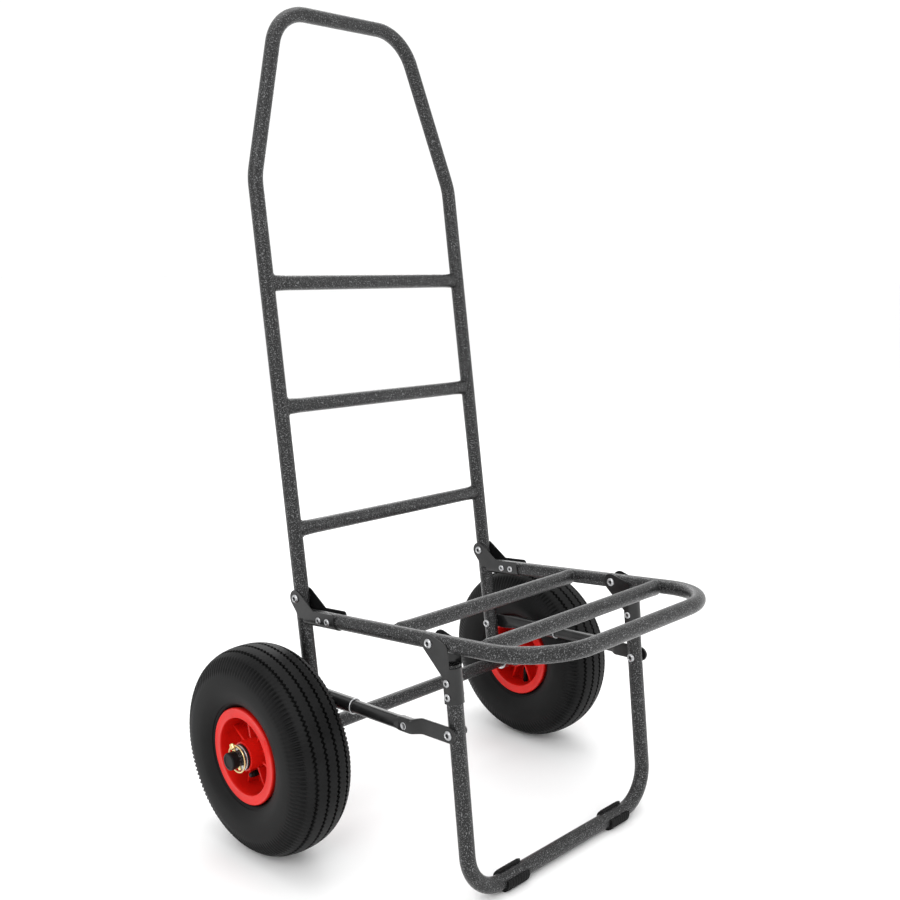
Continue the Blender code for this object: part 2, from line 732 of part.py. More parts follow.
def build_leg_brackets():
    """Folded sheet round the top of each leg, with ears beside the platform side."""
    for side, sign in SIDES.items():
        name = "leg_bracket_%s" % side
        centre = sign * HALF_WIDTH
        rows = [(-2 * EAR_RADIUS, SQUARE_WEB), (LEG_WEB_START - LEG_WEB_TAPER, SQUARE_WEB),
                (LEG_WEB_START, 1), (LEG_BRACKET_LENGTH + CUT_MARGIN, 1)]
        surface = saddle_surface(name, rows, LEG_DROP + 2 * EAR_RADIUS)
        obj = add(name, surface, LEG, "bracket_paint", (centre, -LEG_DROP, 0),
                  (-math.pi / 2, 0, 0))
        solidify(obj, SHEET, 1)
        outline = side_plate("%s_outline" % name, leg_bracket_outline(), centre, LEG)
        cut(obj, outline, "INTERSECT")
        for hole in [LEG_HOLE, *LEG_BRACKET_HOLES]:
            cut(obj, hole)
        clamped_rivet("leg_pivot_rivet_%s" % side, LEG, side, 0, 0,
                      PIVOT_SHANK, PIVOT_HEAD, PIVOT_HEAD_HEIGHT)
        for place, drop in zip(("upper", "lower"), LEG_BRACKET_RIVETS):
            clamped_rivet("leg_rivet_%s_%s" % (place, side), LEG, side, -LEG_DROP, -drop,
                          RIVET_SHANK, RIVET_HEAD, HEAD_HEIGHT)


def foot_outline():
    """C-shaped clip round the bottom bar, flat where it stands on the ground."""
    sole = TUBE_RADIUS + PAD_THICKNESS
    outer = []
    inner = []
    count = 12
    for number in range(count + 1):
        angle = PAD_START + (PAD_END - PAD_START) * number / count
        ray = Vector((math.cos(angle), math.sin(angle)))
        point = ray * PAD_OUTER
        outer.append(Vector((point.x, max(point.y, -sole))))
        inner.append(ray * (TUBE_RADIUS + GAP))
    return [*outer, *reversed(inner)]


def build_feet():
    for side, sign in SIDES.items():
        name = "rubber_foot_%s" % side
        mesh = plate_mesh(name, foot_outline(), PAD_WIDTH / 2)
        add(name, mesh, FLOOR, "foot_rubber", (sign * PAD_CENTRE, 0, 0),
            (math.pi / 2, 0, math.pi / 2))


# ---- Stays ---------------------------------------------------------------
def round_tongue(pivot, outward, half_height, thickness, shift):
    """Stations of a flat tongue's round end, from the tip to the pivot."""
    stations = []
    for angle_deg in (80, 55, 28):
        angle = math.radians(angle_deg)
        stations.append((pivot + outward * half_height * math.sin(angle),
                         half_height * math.cos(angle), thickness, shift, TONGUE_POWER))
    stations.append((pivot, half_height, thickness, shift, TONGUE_POWER))
    return stations


def build_stay_outer(side, sign, parent):
    """Outer tube: a flat ear on the upright, then a round tube open at its rim."""
    inboard = -sign * TONGUE_SHIFT
    flat = TONGUE_THICKNESS / 2
    stations = round_tongue(0.0, -1, STAY_RADIUS, flat, inboard)
    stations.append((EAR_LENGTH, STAY_RADIUS, flat, inboard, TONGUE_POWER))
    stations.append((EAR_LENGTH + EAR_SPREAD, STAY_RADIUS, STAY_RADIUS, 0.0, 1.0))
    stations.append((STAY_OUTER_LENGTH, STAY_RADIUS, STAY_RADIUS, 0.0, 1.0))
    obj = loft("stay_outer_%s" % side, stations, parent, "bracket_paint",
               (sign * STAY_OFFSET, 0, 0))
    bore = rod("stay_outer_bore_%s" % side, STAY_RADIUS - STAY_WALL,
               (sign * STAY_OFFSET, -EAR_LENGTH - EAR_SPREAD - STAY_WALL, 0),
               (sign * STAY_OFFSET, -STAY_OUTER_LENGTH - CUT_MARGIN, 0), parent,
               turn=(math.pi / 2, 0, 0))
    cut(obj, bore)
    cut(obj, STAY_HOLE)


def build_stay_inner(side, sign, parent):
    """Inner tube: round where it slides, crimped, then a flat tongue on the leg."""
    inboard = -sign * TONGUE_SHIFT
    radius = STAY_INNER_RADIUS
    tongue = STAY_LENGTH - TONGUE_START
    crimp = tongue - CRIMP_LENGTH
    crimped = (radius + STAY_RADIUS) / 2
    flat = TONGUE_THICKNESS / 2
    stations = [
        (STAY_INNER_START, radius, radius, 0.0, 1.0),
        (crimp - CRIMP_TAPER, radius, radius, 0.0, 1.0),
        (crimp, crimped, CRIMP_THICKNESS / 2, 0.0, 0.8),
        (tongue - TONGUE_TAPER / 2, crimped, CRIMP_THICKNESS / 2, 0.0, 0.8),
        (tongue + TONGUE_TAPER / 2, STAY_RADIUS, flat, inboard, TONGUE_POWER)]
    stations.extend(reversed(round_tongue(STAY_LENGTH, 1, STAY_RADIUS, flat, inboard)))
    obj = loft("stay_inner_%s" % side, stations, parent, "bracket_paint",
               (sign * STAY_OFFSET, 0, 0))
    bore = rod("stay_inner_bore_%s" % side, radius - STAY_WALL,
               (sign * STAY_OFFSET, -STAY_INNER_START + CUT_MARGIN, 0),
               (sign * STAY_OFFSET, -crimp + CRIMP_TAPER + STAY_WALL, 0), parent, sides=12,
               turn=(math.pi / 2, 0, 0))
    cut(obj, bore)
    cut(obj, STAY_RIVET_HOLE)


def build_stays():
    inner_face = HALF_WIDTH - TUBE_RADIUS - GAP
    outer_face = STAY_OFFSET - STAY_RADIUS + TONGUE_THICKNESS + GAP
    for side, sign in SIDES.items():
        parent = empty("stay_axis_%s" % side, STAY_PIVOT, -STAY_RISE)
        build_stay_outer(side, sign, parent)
        build_stay_inner(side, sign, parent)
        low, high = sorted((sign * inner_face, sign * outer_face))
        rivet("stay_pivot_rivet_%s" % side, BACK, 0, STAY_PIVOT_HEIGHT, PIVOT_SHANK,
              PIVOT_HEAD, PIVOT_HEAD_HEIGHT, low, high)
        leg_face = HALF_WIDTH + TUBE_RADIUS - GAP
        low, high = sorted((sign * inner_face, sign * leg_face))
        rivet("stay_rivet_tail_%s" % side, LEG, -LEG_DROP, -STAY_ON_LEG, PIVOT_SHANK,
              PIVOT_HEAD, PIVOT_HEAD_HEIGHT, low, high, low_head=sign > 0,
              high_head=sign < 0)
        leg_side = HALF_WIDTH + TUBE_RADIUS + GAP
        low, high = sorted((sign * leg_side, sign * outer_face))
        rivet("stay_rivet_head_%s" % side, parent, -STAY_LENGTH, 0, PIVOT_SHANK,
              PIVOT_HEAD, PIVOT_HEAD_HEIGHT, low, high, low_head=sign < 0,
              high_head=sign > 0)


# ---- Wheels --------------------------------------------------------------
TYRE_MIDDLE = (WHEEL_RADIUS + RIM_RADIUS) / 2 - BEAD_DROP
TYRE_CROWN = WHEEL_RADIUS - TYRE_MIDDLE
AIR_SECTION = (-60, -20, 30, 90, 150, 200, 240)  # degrees round the air space


def oval(angle_deg, half_width, half_depth, power=0.8):
    """Point (radius, across) of a tyre-shaped oval section."""
    angle = math.radians(angle_deg)
    across = math.copysign(abs(math.cos(angle)) ** power, math.cos(angle)) * half_width
    out = math.copysign(abs(math.sin(angle)) ** power, math.sin(angle)) * half_depth
    return (TYRE_MIDDLE + out, across)


def build_tyre(side, parent):
    """Open carcass: sidewalls end in beads that sit inside the rim flanges."""
    outer_angles = [AIR_SECTION[0], -38, -10, 25, 58, 90]
    outer = [oval(a, TYRE_WIDTH / 2, TYRE_CROWN) for a in outer_angles]
    outer += [(radius, -across) for radius, across in reversed(outer[:-1])]
    inner = [oval(a, TYRE_WIDTH / 2 - TYRE_WALL, TYRE_CROWN - TYRE_WALL)
             for a in AIR_SECTION]
    turned("tyre_%s" % side, [*outer, *reversed(inner)], parent, "tyre", steps=WHEEL_STEPS)


def build_inner_tube(side, parent, valve_hole):
    """Thin air tube with its valve hole."""
    room = TYRE_WALL + TUBE_ROOM
    half_width = TYRE_WIDTH / 2 - room
    half_depth = TYRE_CROWN - room
    outer = [oval(a, half_width, half_depth) for a in AIR_SECTION]
    inner = [oval(a, half_width - TUBE_SKIN, half_depth - TUBE_SKIN) for a in AIR_SECTION]
    inner.reverse()
    skin = turned("inner_tube_%s" % side, outer, parent, "inner_tube", steps=WHEEL_STEPS,
                  cavity=inner)
    cut(skin, valve_hole)


def rim_profile():
    """Moulded rim section from one flange over the well to the other, and the hub."""
    half = RIM_WIDTH / 2
    web = RIM_WEB / 2
    well = RIM_RADIUS - WELL_DEPTH
    bead, bead_edge = oval(AIR_SECTION[0], TYRE_WIDTH / 2, TYRE_CROWN)
    seat = bead - GAP
    seat_end = bead_edge - SEAT_WIDTH
    barrel = well - RIM_WALL
    hub_half = HUB_WIDTH / 2
    outside = [(RIM_RADIUS, half - RIM_LIP_EDGE), (seat, bead_edge), (seat, seat_end),
               (well, seat_end - WELL_SLOPE)]
    inside = [(barrel, half - DISH_EDGE), (RIM_LIP, half),
              (RIM_RADIUS - RIM_LIP_EDGE / 2, half)]
    right_hub = [(HUB_BORE, hub_half), (HUB_RADIUS, hub_half), (HUB_RADIUS, web),
                 (barrel, web)]
    left_outside = [(radius, -x) for radius, x in reversed(outside)]
    left_inside = [(radius, -x) for radius, x in reversed(inside)]
    left_hub = [(radius, -x) for radius, x in reversed(right_hub)]
    return [*outside, *left_outside, *left_inside, *left_hub, *right_hub, *inside]


def build_ribs(side, parent):
    """Operand: radial ribs that stiffen the rim's dish on both faces."""
    work = bmesh.new()
    inner = HUB_RADIUS - RIB_ROOT
    outer = RIM_RADIUS - WELL_DEPTH - RIB_ROOT
    for number in range(RIB_COUNT):
        angle = math.tau * (number + 0.5) / RIB_COUNT
        box = bmesh.ops.create_cube(work, size=1.0)["verts"]
        for vertex in box:
            width = vertex.co.x * 2 * RIB_HALF_WIDTH
            along = (inner + outer) / 2 + vertex.co.y * (outer - inner)
            across = vertex.co.z * RIB_THICKNESS
            vertex.co = (width, along * math.cos(angle) - across * math.sin(angle),
                         along * math.sin(angle) + across * math.cos(angle))
    mesh = bpy.data.meshes.new("ribs_%s" % side)
    work.to_mesh(mesh)
    work.free()
    return add("ribs_%s" % side, mesh, parent)


def valve_path(sign, top, extra):
    """Down from the air tube behind the web, then out through it beside the hub."""
    inboard = -sign * VALVE_INBOARD
    tip = sign * (VALVE_OUTBOARD + extra)
    return rounded([
        ((inboard, 0, -top), 0),
        ((inboard, 0, -VALVE_FROM_AXIS), VALVE_BEND_RADIUS),
        ((tip, 0, -VALVE_FROM_AXIS), 0)], step_deg=30)


def build_wheel(side, sign):
    parent = empty("wheel_axis_%s" % side, AXLE + Vector((sign * WHEEL_TRACK / 2, 0, 0)))
    top = RIM_RADIUS + VALVE_ABOVE_RIM
    past = 2 * VALVE_RADIUS
    hole = tube_surface("valve_hole_%s" % side, valve_path(sign, top + past, past),
                        VALVE_RADIUS + GAP, caps=True)
    valve_hole = add("valve_hole_%s" % side, hole, parent)
    build_tyre(side, parent)
    build_inner_tube(side, parent, valve_hole)
    rim = turned("rim_%s" % side, rim_profile(), parent, "rim_red", steps=WHEEL_STEPS)
    cut(rim, build_ribs(side, parent), "UNION")
    cut(rim, valve_hole)
    stem = tube_surface("valve_%s" % side, valve_path(sign, top, 0), VALVE_RADIUS, caps=True)
    add("valve_%s" % side, stem, parent, "black_plastic")
    for place, facing in (("outer", sign), ("inner", -sign)):
        face = facing * (HUB_WIDTH / 2 + GAP)
        build_bush("hub_bush_%s_%s" % (place, side), parent, face, facing)


def build_bush(name, parent, face, facing):
    """Flanged bush pressed into one end of the hub."""
    bore = TUBE_RADIUS + BORE_GAP
    body = HUB_BORE - GAP
    flange = HUB_RADIUS - BUSH_SETBACK
    high = face + facing * BUSH_FLANGE
    low = face - facing * BUSH_LENGTH
    profile = [(flange, high), (flange, face), (body, face), (body, low), (bore, low),
               (bore, high)]
    if facing < 0:
        profile.reverse()
    turned(name, profile, parent, "black_plastic")


# ---- Axle and its ends ---------------------------------------------------------
def build_axle():
    profile = ring_profile(TUBE_RADIUS - AXLE_WALL, TUBE_RADIUS, -AXLE_HALF_LENGTH,
                           AXLE_HALF_LENGTH)
    axle = turned("axle_tube", profile, AXLE_FRAME, "frame_paint")
    for side, sign in SIDES.items():
        build_axle_end(side, sign, axle)


def build_axle_end(side, sign, axle):
    inner_hub = WHEEL_TRACK / 2 - HUB_WIDTH / 2 - BUSH_FLANGE - 2 * GAP
    spacer_start = HALF_WIDTH + TUBE_RADIUS + GAP
    bore = TUBE_RADIUS + GAP
    low, high = sorted((sign * spacer_start, sign * inner_hub))
    turned("wheel_spacer_%s" % side, ring_profile(bore, bore + SPACER_WALL, low, high),
           AXLE_FRAME, "zinc")
    low, high = sorted((sign * WASHER_START, sign * (WASHER_START + WASHER_THICKNESS)))
    turned("axle_washer_%s" % side, ring_profile(bore, WASHER_RADIUS, low, high),
           AXLE_FRAME, "zinc")
    build_cap(side, sign)
    build_linch_pin(side, sign, axle)


def build_cap(side, sign):
    """Plastic cap pushed over the end of the axle."""
    skirt = sign * (PIN_PLACE + PIN_RADIUS + CAP_SETBACK)
    crown_inside = sign * (AXLE_HALF_LENGTH + GAP)
    crown = crown_inside + sign * 2 * CAP_WALL
    bore = TUBE_RADIUS + GAP
    outer = bore + CAP_WALL
    profile = [(0.0, crown), (outer - CAP_EDGE, crown), (outer, crown - sign * CAP_EDGE),
               (outer, skirt), (bore, skirt), (bore, crown_inside), (0.0, crown_inside)]
    if sign < 0:
        profile.reverse()
    turned("axle_cap_%s" % side, profile, AXLE_FRAME, "black_plastic",
           closed=False)


def build_linch_pin(side, sign, axle):
    """Pin across the axle with a spring ring hinged in its head."""
    parent = empty("linch_pin_axis_%s" % side, AXLE + Vector((sign * PIN_PLACE, 0, 0)),
                   -PIN_TILT)
    neck = TUBE_RADIUS + PIN_NECK
    top = RING_RADIUS + PIN_ABOVE_RING
    tip = -TUBE_RADIUS - PIN_BELOW_AXLE
    profile = [(0.0, top), (PIN_HEAD_RADIUS - PIN_EDGE, top), (PIN_HEAD_RADIUS, top - PIN_EDGE),
               (PIN_HEAD_RADIUS, neck + PIN_EDGE), (PIN_RADIUS, neck),
               (PIN_RADIUS, tip + PIN_EDGE), (PIN_RADIUS - PIN_EDGE, tip), (0.0, tip)]
    pin = turned("linch_pin_%s" % side, profile, parent, "yellow_zinc", turn=(0, 0, 0),
                 steps=12, closed=False)
    through = PIN_HEAD_RADIUS + CUT_MARGIN
    eye = rod("linch_eye_%s" % side, RING_WIRE + BORE_GAP, (0, -through, RING_RADIUS),
              (0, through, RING_RADIUS), parent, sides=12, turn=(math.pi / 2, 0, 0))
    cut(pin, eye)
    through = TUBE_RADIUS + CUT_MARGIN
    pin_hole = rod("pin_hole_%s" % side, PIN_RADIUS + GAP, (0, 0, -through),
                   (0, 0, through), parent, sides=12, turn=(0, 0, 0))
    cut(axle, pin_hole)
    build_ring(side, sign)


def build_ring(side, sign):
    """Spring ring that lies round the axle and hinges in the pin's head."""
    up_pin = Vector((0, math.sin(PIN_TILT), math.cos(PIN_TILT)))
    hinge = AXLE + Vector((sign * PIN_PLACE, 0, 0)) + up_pin * RING_RADIUS
    parent = empty("ring_axis_%s" % side, hinge, -PIN_TILT)
    name = "linch_ring_%s" % side
    bpy.ops.mesh.primitive_torus_add(major_radius=RING_RADIUS, minor_radius=RING_WIRE,
                                     major_segments=24, minor_segments=5)
    made = bpy.context.object
    mesh = made.data
    bpy.data.objects.remove(made, do_unlink=True)
    mesh.name = name
    add(name, mesh, parent, "yellow_zinc", (0, 0, -RING_RADIUS), (0, math.pi / 2, 0))


build_back_frame()
build_rungs()
build_platform_tube()
build_crossbars()
build_upright_brackets()
build_leg_tube()
build_leg_brackets()
build_feet()
build_stays()
for wheel_side, wheel_sign in SIDES.items():
    build_wheel(wheel_side, wheel_sign)
build_axle()
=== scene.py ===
"""Looks of the folding hand truck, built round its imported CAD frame.

Every node is replaced by a finely modelled piece in the same place. Sizes and places
are in metres and come from the frame; what the frame doesn't give is named below.
"""

import json
import math

import bmesh
import bpy
from mathutils import Matrix, Vector


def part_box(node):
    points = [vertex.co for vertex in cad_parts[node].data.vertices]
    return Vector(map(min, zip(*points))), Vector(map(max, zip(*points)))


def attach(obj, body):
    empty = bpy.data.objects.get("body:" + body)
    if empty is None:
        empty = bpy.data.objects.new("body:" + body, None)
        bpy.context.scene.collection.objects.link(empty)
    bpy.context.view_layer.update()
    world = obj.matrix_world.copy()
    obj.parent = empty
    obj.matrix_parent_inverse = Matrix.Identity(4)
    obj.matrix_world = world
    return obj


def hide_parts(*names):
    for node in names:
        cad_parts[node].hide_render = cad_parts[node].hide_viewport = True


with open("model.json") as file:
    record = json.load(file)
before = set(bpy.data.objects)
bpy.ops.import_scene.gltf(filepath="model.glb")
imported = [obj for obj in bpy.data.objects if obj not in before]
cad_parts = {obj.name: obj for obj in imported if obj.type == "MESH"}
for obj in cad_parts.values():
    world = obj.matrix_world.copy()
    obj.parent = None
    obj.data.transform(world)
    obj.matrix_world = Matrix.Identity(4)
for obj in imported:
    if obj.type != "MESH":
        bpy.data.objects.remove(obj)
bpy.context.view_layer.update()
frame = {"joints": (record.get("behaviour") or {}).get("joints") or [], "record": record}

SIDES = {"left": -1, "right": 1}
JOINTS = {joint["name"]: joint for joint in frame["joints"]}
BODY_OF = {node: body for body, nodes in frame["record"]["behaviour"]["bodies"].items()
           for node in nodes}
SLOT_OF = {part["node"]: part["material_slot"] for part in frame["record"]["subparts"]}


def centre(node):
    low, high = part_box(node)
    return (low + high) / 2


def middle_plane(node):
    """A node's centre, moved to the truck's middle plane."""
    place = centre(node)
    return Vector((0, place.y, place.z))


def pivot(joint):
    place = Vector(JOINTS[joint]["pos_m"])
    return Vector((0, place.y, place.z))


# ---- Places and sizes from the frame -----------------
AXLE = middle_plane("axle_tube")
AXLE_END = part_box("axle_tube")[1].x
TUBE = (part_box("axle_tube")[1].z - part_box("axle_tube")[0].z) / 2
HALF_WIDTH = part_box("back_frame_tube")[1].x - TUBE
PLATFORM_PIVOT = pivot("platform_fold")
LEG_PIVOT = pivot("leg_fold")
STAY_PIVOT = pivot("stay_swing_left")
STAY_OFFSET = JOINTS["stay_swing_right"]["pos_m"][0]
ALONG_STAY = Vector(JOINTS["stay_slide_left"]["axis"])
STAY_RIVET = middle_plane("stay_rivet_head_left")
STAY_LENGTH = (STAY_RIVET - STAY_PIVOT).length
WHEEL_RADIUS = (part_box("tyre_left")[1].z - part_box("tyre_left")[0].z) / 2
WHEEL_PLACE = (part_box("tyre_right")[1].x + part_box("tyre_right")[0].x) / 2


def tilt_of(direction):
    """Turn about X that lays a local axis along a direction in the YZ plane."""
    return -math.atan2(direction.y, direction.z)


def station(place, tilt=0.0):
    return Matrix.Translation(place) @ Matrix.Rotation(tilt, 4, "X")


ALONG_PLATFORM = (middle_plane("bracket_rivet_front_left")
                  - middle_plane("bracket_rivet_rear_left")).normalized()
UP_LEG = (middle_plane("leg_rivet_upper_left")
          - middle_plane("leg_rivet_lower_left")).normalized()
BACK = station(AXLE, tilt_of(PLATFORM_PIVOT - AXLE))
PLATFORM = station(PLATFORM_PIVOT, -math.atan2(ALONG_PLATFORM.z, -ALONG_PLATFORM.y))
LEG = station(LEG_PIVOT, tilt_of(UP_LEG))
STAY = station(STAY_PIVOT, -math.atan2(ALONG_STAY.z, -ALONG_STAY.y))


def seen_from(matrix, place):
    """A place given in a station's own axes."""
    return matrix.inverted() @ Vector(place)


# ---- Shapes the frame doesn't give -------------------
HANDLE_HALF = 0.107            # top corner to the middle, before rounding
KINK = 0.702                   # axle to the bend below the handle
BENDS = {"handle": 0.060, "kink": 0.075, "platform": 0.078, "leg": 0.050}
WALL = 0.0013
PLATFORM_START = 0.0122        # platform side's open end, from its pivot
LEG_START = 0.0225
SQUEEZE_LENGTH = 0.032
TUCK_LENGTH = 0.007
TUCK = 0.32                    # a crossbar's end closes in by this share
SQUEEZE = (0.78, 1.12)         # rung end: depth and height against a round tube
SQUEEZE_RINGS = 14
RINGED_LENGTH = 1.2 * SQUEEZE_LENGTH
CROSS_END = 0.6 * TUBE         # a cross tube stops this far from a side tube's middle
BEAD = 0.0016                  # weld bead
BEAD_RIPPLE = 0.22
BEAD_LEAN = 0.5 * TUBE         # along the side tube's edge, against straight out
CLEARANCE = 0.0003             # between pieces that fit together
SOFT_EDGE = 0.0003             # bevel on sheet and stay edges

SHEET = 0.0012
CHEEK = TUBE + CLEARANCE
EAR = 0.011
BRACKET_LENGTH = 0.073
BRACKET_SLOPE_END = 0.033
BRACKET_TOP_RISE = 0.0015
BRACKET_HEEL = 0.004           # from the pivot to the cheek's rear lower corner
BRACKET_HEEL_DROP = 0.0008
BRACKET_CORNER = 0.004
LEG_BRACKET_LENGTH = 0.0665
LEG_WEB_START = 0.026
LEG_CHEEK_FRONT = 0.0055
LEG_TAB_REAR = 0.0052
LEG_SLOPE_END = 0.0365
LEG_CORNER = 0.006
LEG_CORNER_RISE = 0.0005
SQUARE_WEB = 0.15              # section power of the web above the tube
WEB_EASE = 0.006               # from that square web to the round one
MARGIN = 0.002
BEND_FACETS = 28

# From the recess out to the edge: shares of the head's radius and height.
RIVET_HEAD = ((0.0, -0.5), (0.40, -0.5), (0.44, 0.78), (0.52, 0.97), (0.64, 1.0),
              (0.80, 0.82), (0.93, 0.50), (1.0, 0.14), (1.0, 0.0))
LARGE_RIVET = 0.005
LARGE_HEAD = 0.0024
SMALL_HEAD = 0.0014
SHANK = 0.57                   # share of the head's radius

STAY_TUBE = 0.0095
STAY_WALL = 0.0012
STAY_OUTER_LENGTH = 0.110
STAY_BORE_END = 0.0345         # the inner tube slides in to 0.0405
STAY_INNER = 0.0080
STAY_INNER_START = 0.046
TONGUE = 0.0030
TONGUE_START = 0.047
FLAT_POWER = 0.4               # section power of a flattened end
END_ANGLES = (86, 75, 62, 48, 34, 20, 8)
EAR_END = 0.012
ROUND_START = 0.032
STAY_RIM = 0.0018
RIM_RISE = 0.0002
RIM_ROUND = 0.0006
CRIMP_LENGTH = 0.020
CRIMP_DEPTH = 0.0125
CRIMP_POWER = 0.6
CRIMP_END = 0.005              # from the crimp to the tongue
CRIMP_EASE = 0.007
TONGUE_EASE = 0.006
# Depth that the crimp's painted-highlight disc sits below the crimp's face.
HIGHLIGHT_SINK = 0.0002
# Bright zinc disc on the crimp, a painted highlight for the light on the squeezed flat: radius,
# and rise above the crimp's face.
CRIMP_HIGHLIGHT = ((0.0, 0.0004), (0.0032, 0.0004), (0.0038, 0.0007), (0.0044, 0.0003),
              (0.0044, -0.001), (0.0, -0.001))

RIM_RADIUS = 0.060
RIM_HALF = 0.036
RIM_LIP = 0.0475
HUB_RADIUS = 0.018
HUB_HALF = 0.0355
HUB_BORE = 0.0133
BARREL = 0.0498
WEB_HALF = 0.0025
RIBS = 8
RIB_HALF = 0.0015
RIB_HUB_END = 0.0195           # rib's edge at the hub, from the wheel's middle
RIB_FLANGE_END = 0.0165
SEAT_WIDTH = 0.0045
WELL_START = 0.0075            # from the bead's edge to the well
WELL_WALL = 0.0032
DISH_DEPTH = 0.0235
DISH_EDGE = 0.0345
FLANGE_STEP = 0.0006
VALVE_RADIUS = 0.004
VALVE_FROM_AXIS = 0.0275
VALVE_TIP = 0.026
VALVE_STEM = 0.86              # share of the cap's radius
VALVE_INBOARD = 0.0075
VALVE_OVERLAP = 0.0045
VALVE_BEND = 0.006
VALVE_CAP = 0.011
# Dust cap: distance along it, and share of its radius.
CAP_PROFILE = ((0.0, 0.80), (0.0003, 0.96), (0.0070, 1.0), (0.0078, 0.82), (0.0100, 0.80),
               (VALVE_CAP, 0.60))
CAP_RIB = 0.94                 # radius between the cap's ribs
BUSH_FLANGE = 0.002
BUSH_EDGE = 0.0005
BUSH_SLEEVE = 0.016
BUSH_GROOVE = 0.0008

TYRE_HALF = 0.043
TYRE_MIDDLE = (WHEEL_RADIUS + RIM_RADIUS) / 2 - 0.003
TYRE_DEPTH = WHEEL_RADIUS - TYRE_MIDDLE
TYRE_POWER = 0.8
TYRE_WALL = 0.0055
AIR_OUTSIDE = 0.0063           # air tube's outside, in from the tyre's
AIR_WALL = 0.0018
BEAD_ANGLE = -60
AROUND = 512                   # tyre facets round the wheel
ZIGZAG_FACETS = 4
SHOULDER_FACETS = 4
SHOULDER_DEPTH = 0.0030
ZIGZAG = 0.0013
GROOVES = (-0.0225, -0.0075, 0.0075, 0.0225)
GROOVE_HALF = 0.0019
GROOVE_DEPTH = 0.0040
GROOVE_FLOOR = 0.7             # floor's width against the groove's
LAND = 0.0052                  # a column between two grooves, from the outer one
TREAD_EDGE = 0.0320
EDGE_STEP = 0.0016
SHOULDER_START = 12            # degrees round the section
SHOULDER_GAP = 2               # degrees short of the tread's edge
# Moulded lines on the flank: degrees round the section, and depth.
FLANK = ((-60, 0), (-52, 0), (-44, 0.0004), (-41, -0.0006), (-38, 0.0004), (-30, 0),
         (-20, 0), (-12, 0), (-8, 0), (-6, -0.0007), (-4, -0.0007), (-2, 0), (5, 0))
# Shoulder: share of its width, and share of the ribs' depth.
SHOULDER = ((0.0, 0.0), (0.08, 0.45), (0.25, 0.8), (0.5, 1.0), (0.75, 1.0), (1.0, 1.0))
CARCASS_ANGLES = (-60, -25, 15, 60, 90, 120, 165, 205, 240)

AXLE_WALL = 0.0022
AXLE_EDGE = 0.0006
SPACER_EDGE = 0.0004
WASHER_EDGE = 0.0005
CAP_ROUND = 0.0016
CAP_RIM = 0.0030
CAP_DISH = 0.0006
RING = 0.0165
RING_WIRE = 0.001
PIN_HEAD = 0.0036
PIN_SHANK = 0.0022
PIN_NECK = 0.0024              # above the axle
PIN_TOP = 0.0032               # above the ring's middle line
PIN_TIP = 0.0047               # below the axle

PAD_OUTER = 0.0135
PAD_RIBS = 8
PAD_RIB_DEPTH = 0.0009
PAD_END_STEP = 0.0005
PAD_FACETS = 40
PAD_START = 158                # degrees round the bar from the front lip
PAD_END = 435

LAMP_TARGET = (0, 0, 0.45)
# Each softbox: place, size and watts.
LAMPS = {
    "key": ((-2.6, -1.4, 2.4), (1.6, 1.6), 38),
    "fill": ((1.8, -2.8, 1.6), (1.8, 1.8), 14),
    "top": ((0.2, 0.4, 3.2), (2.2, 2.2), 26),
    "back": ((2.0, 2.4, 1.8), (1.2, 2.0), 20),
}
WORLD_STRENGTH = 1.06
FLOOR_HALF = 40.0
EYE = (-0.9963, -0.9274, 0.7240)
HEADING = -45.38               # camera's turn about Z, in degrees
PITCH = -10.44
ROLL = 0.35
LENS = 43.84
SENSOR = 36.0
SHIFT = (0.0037, 0.0130)


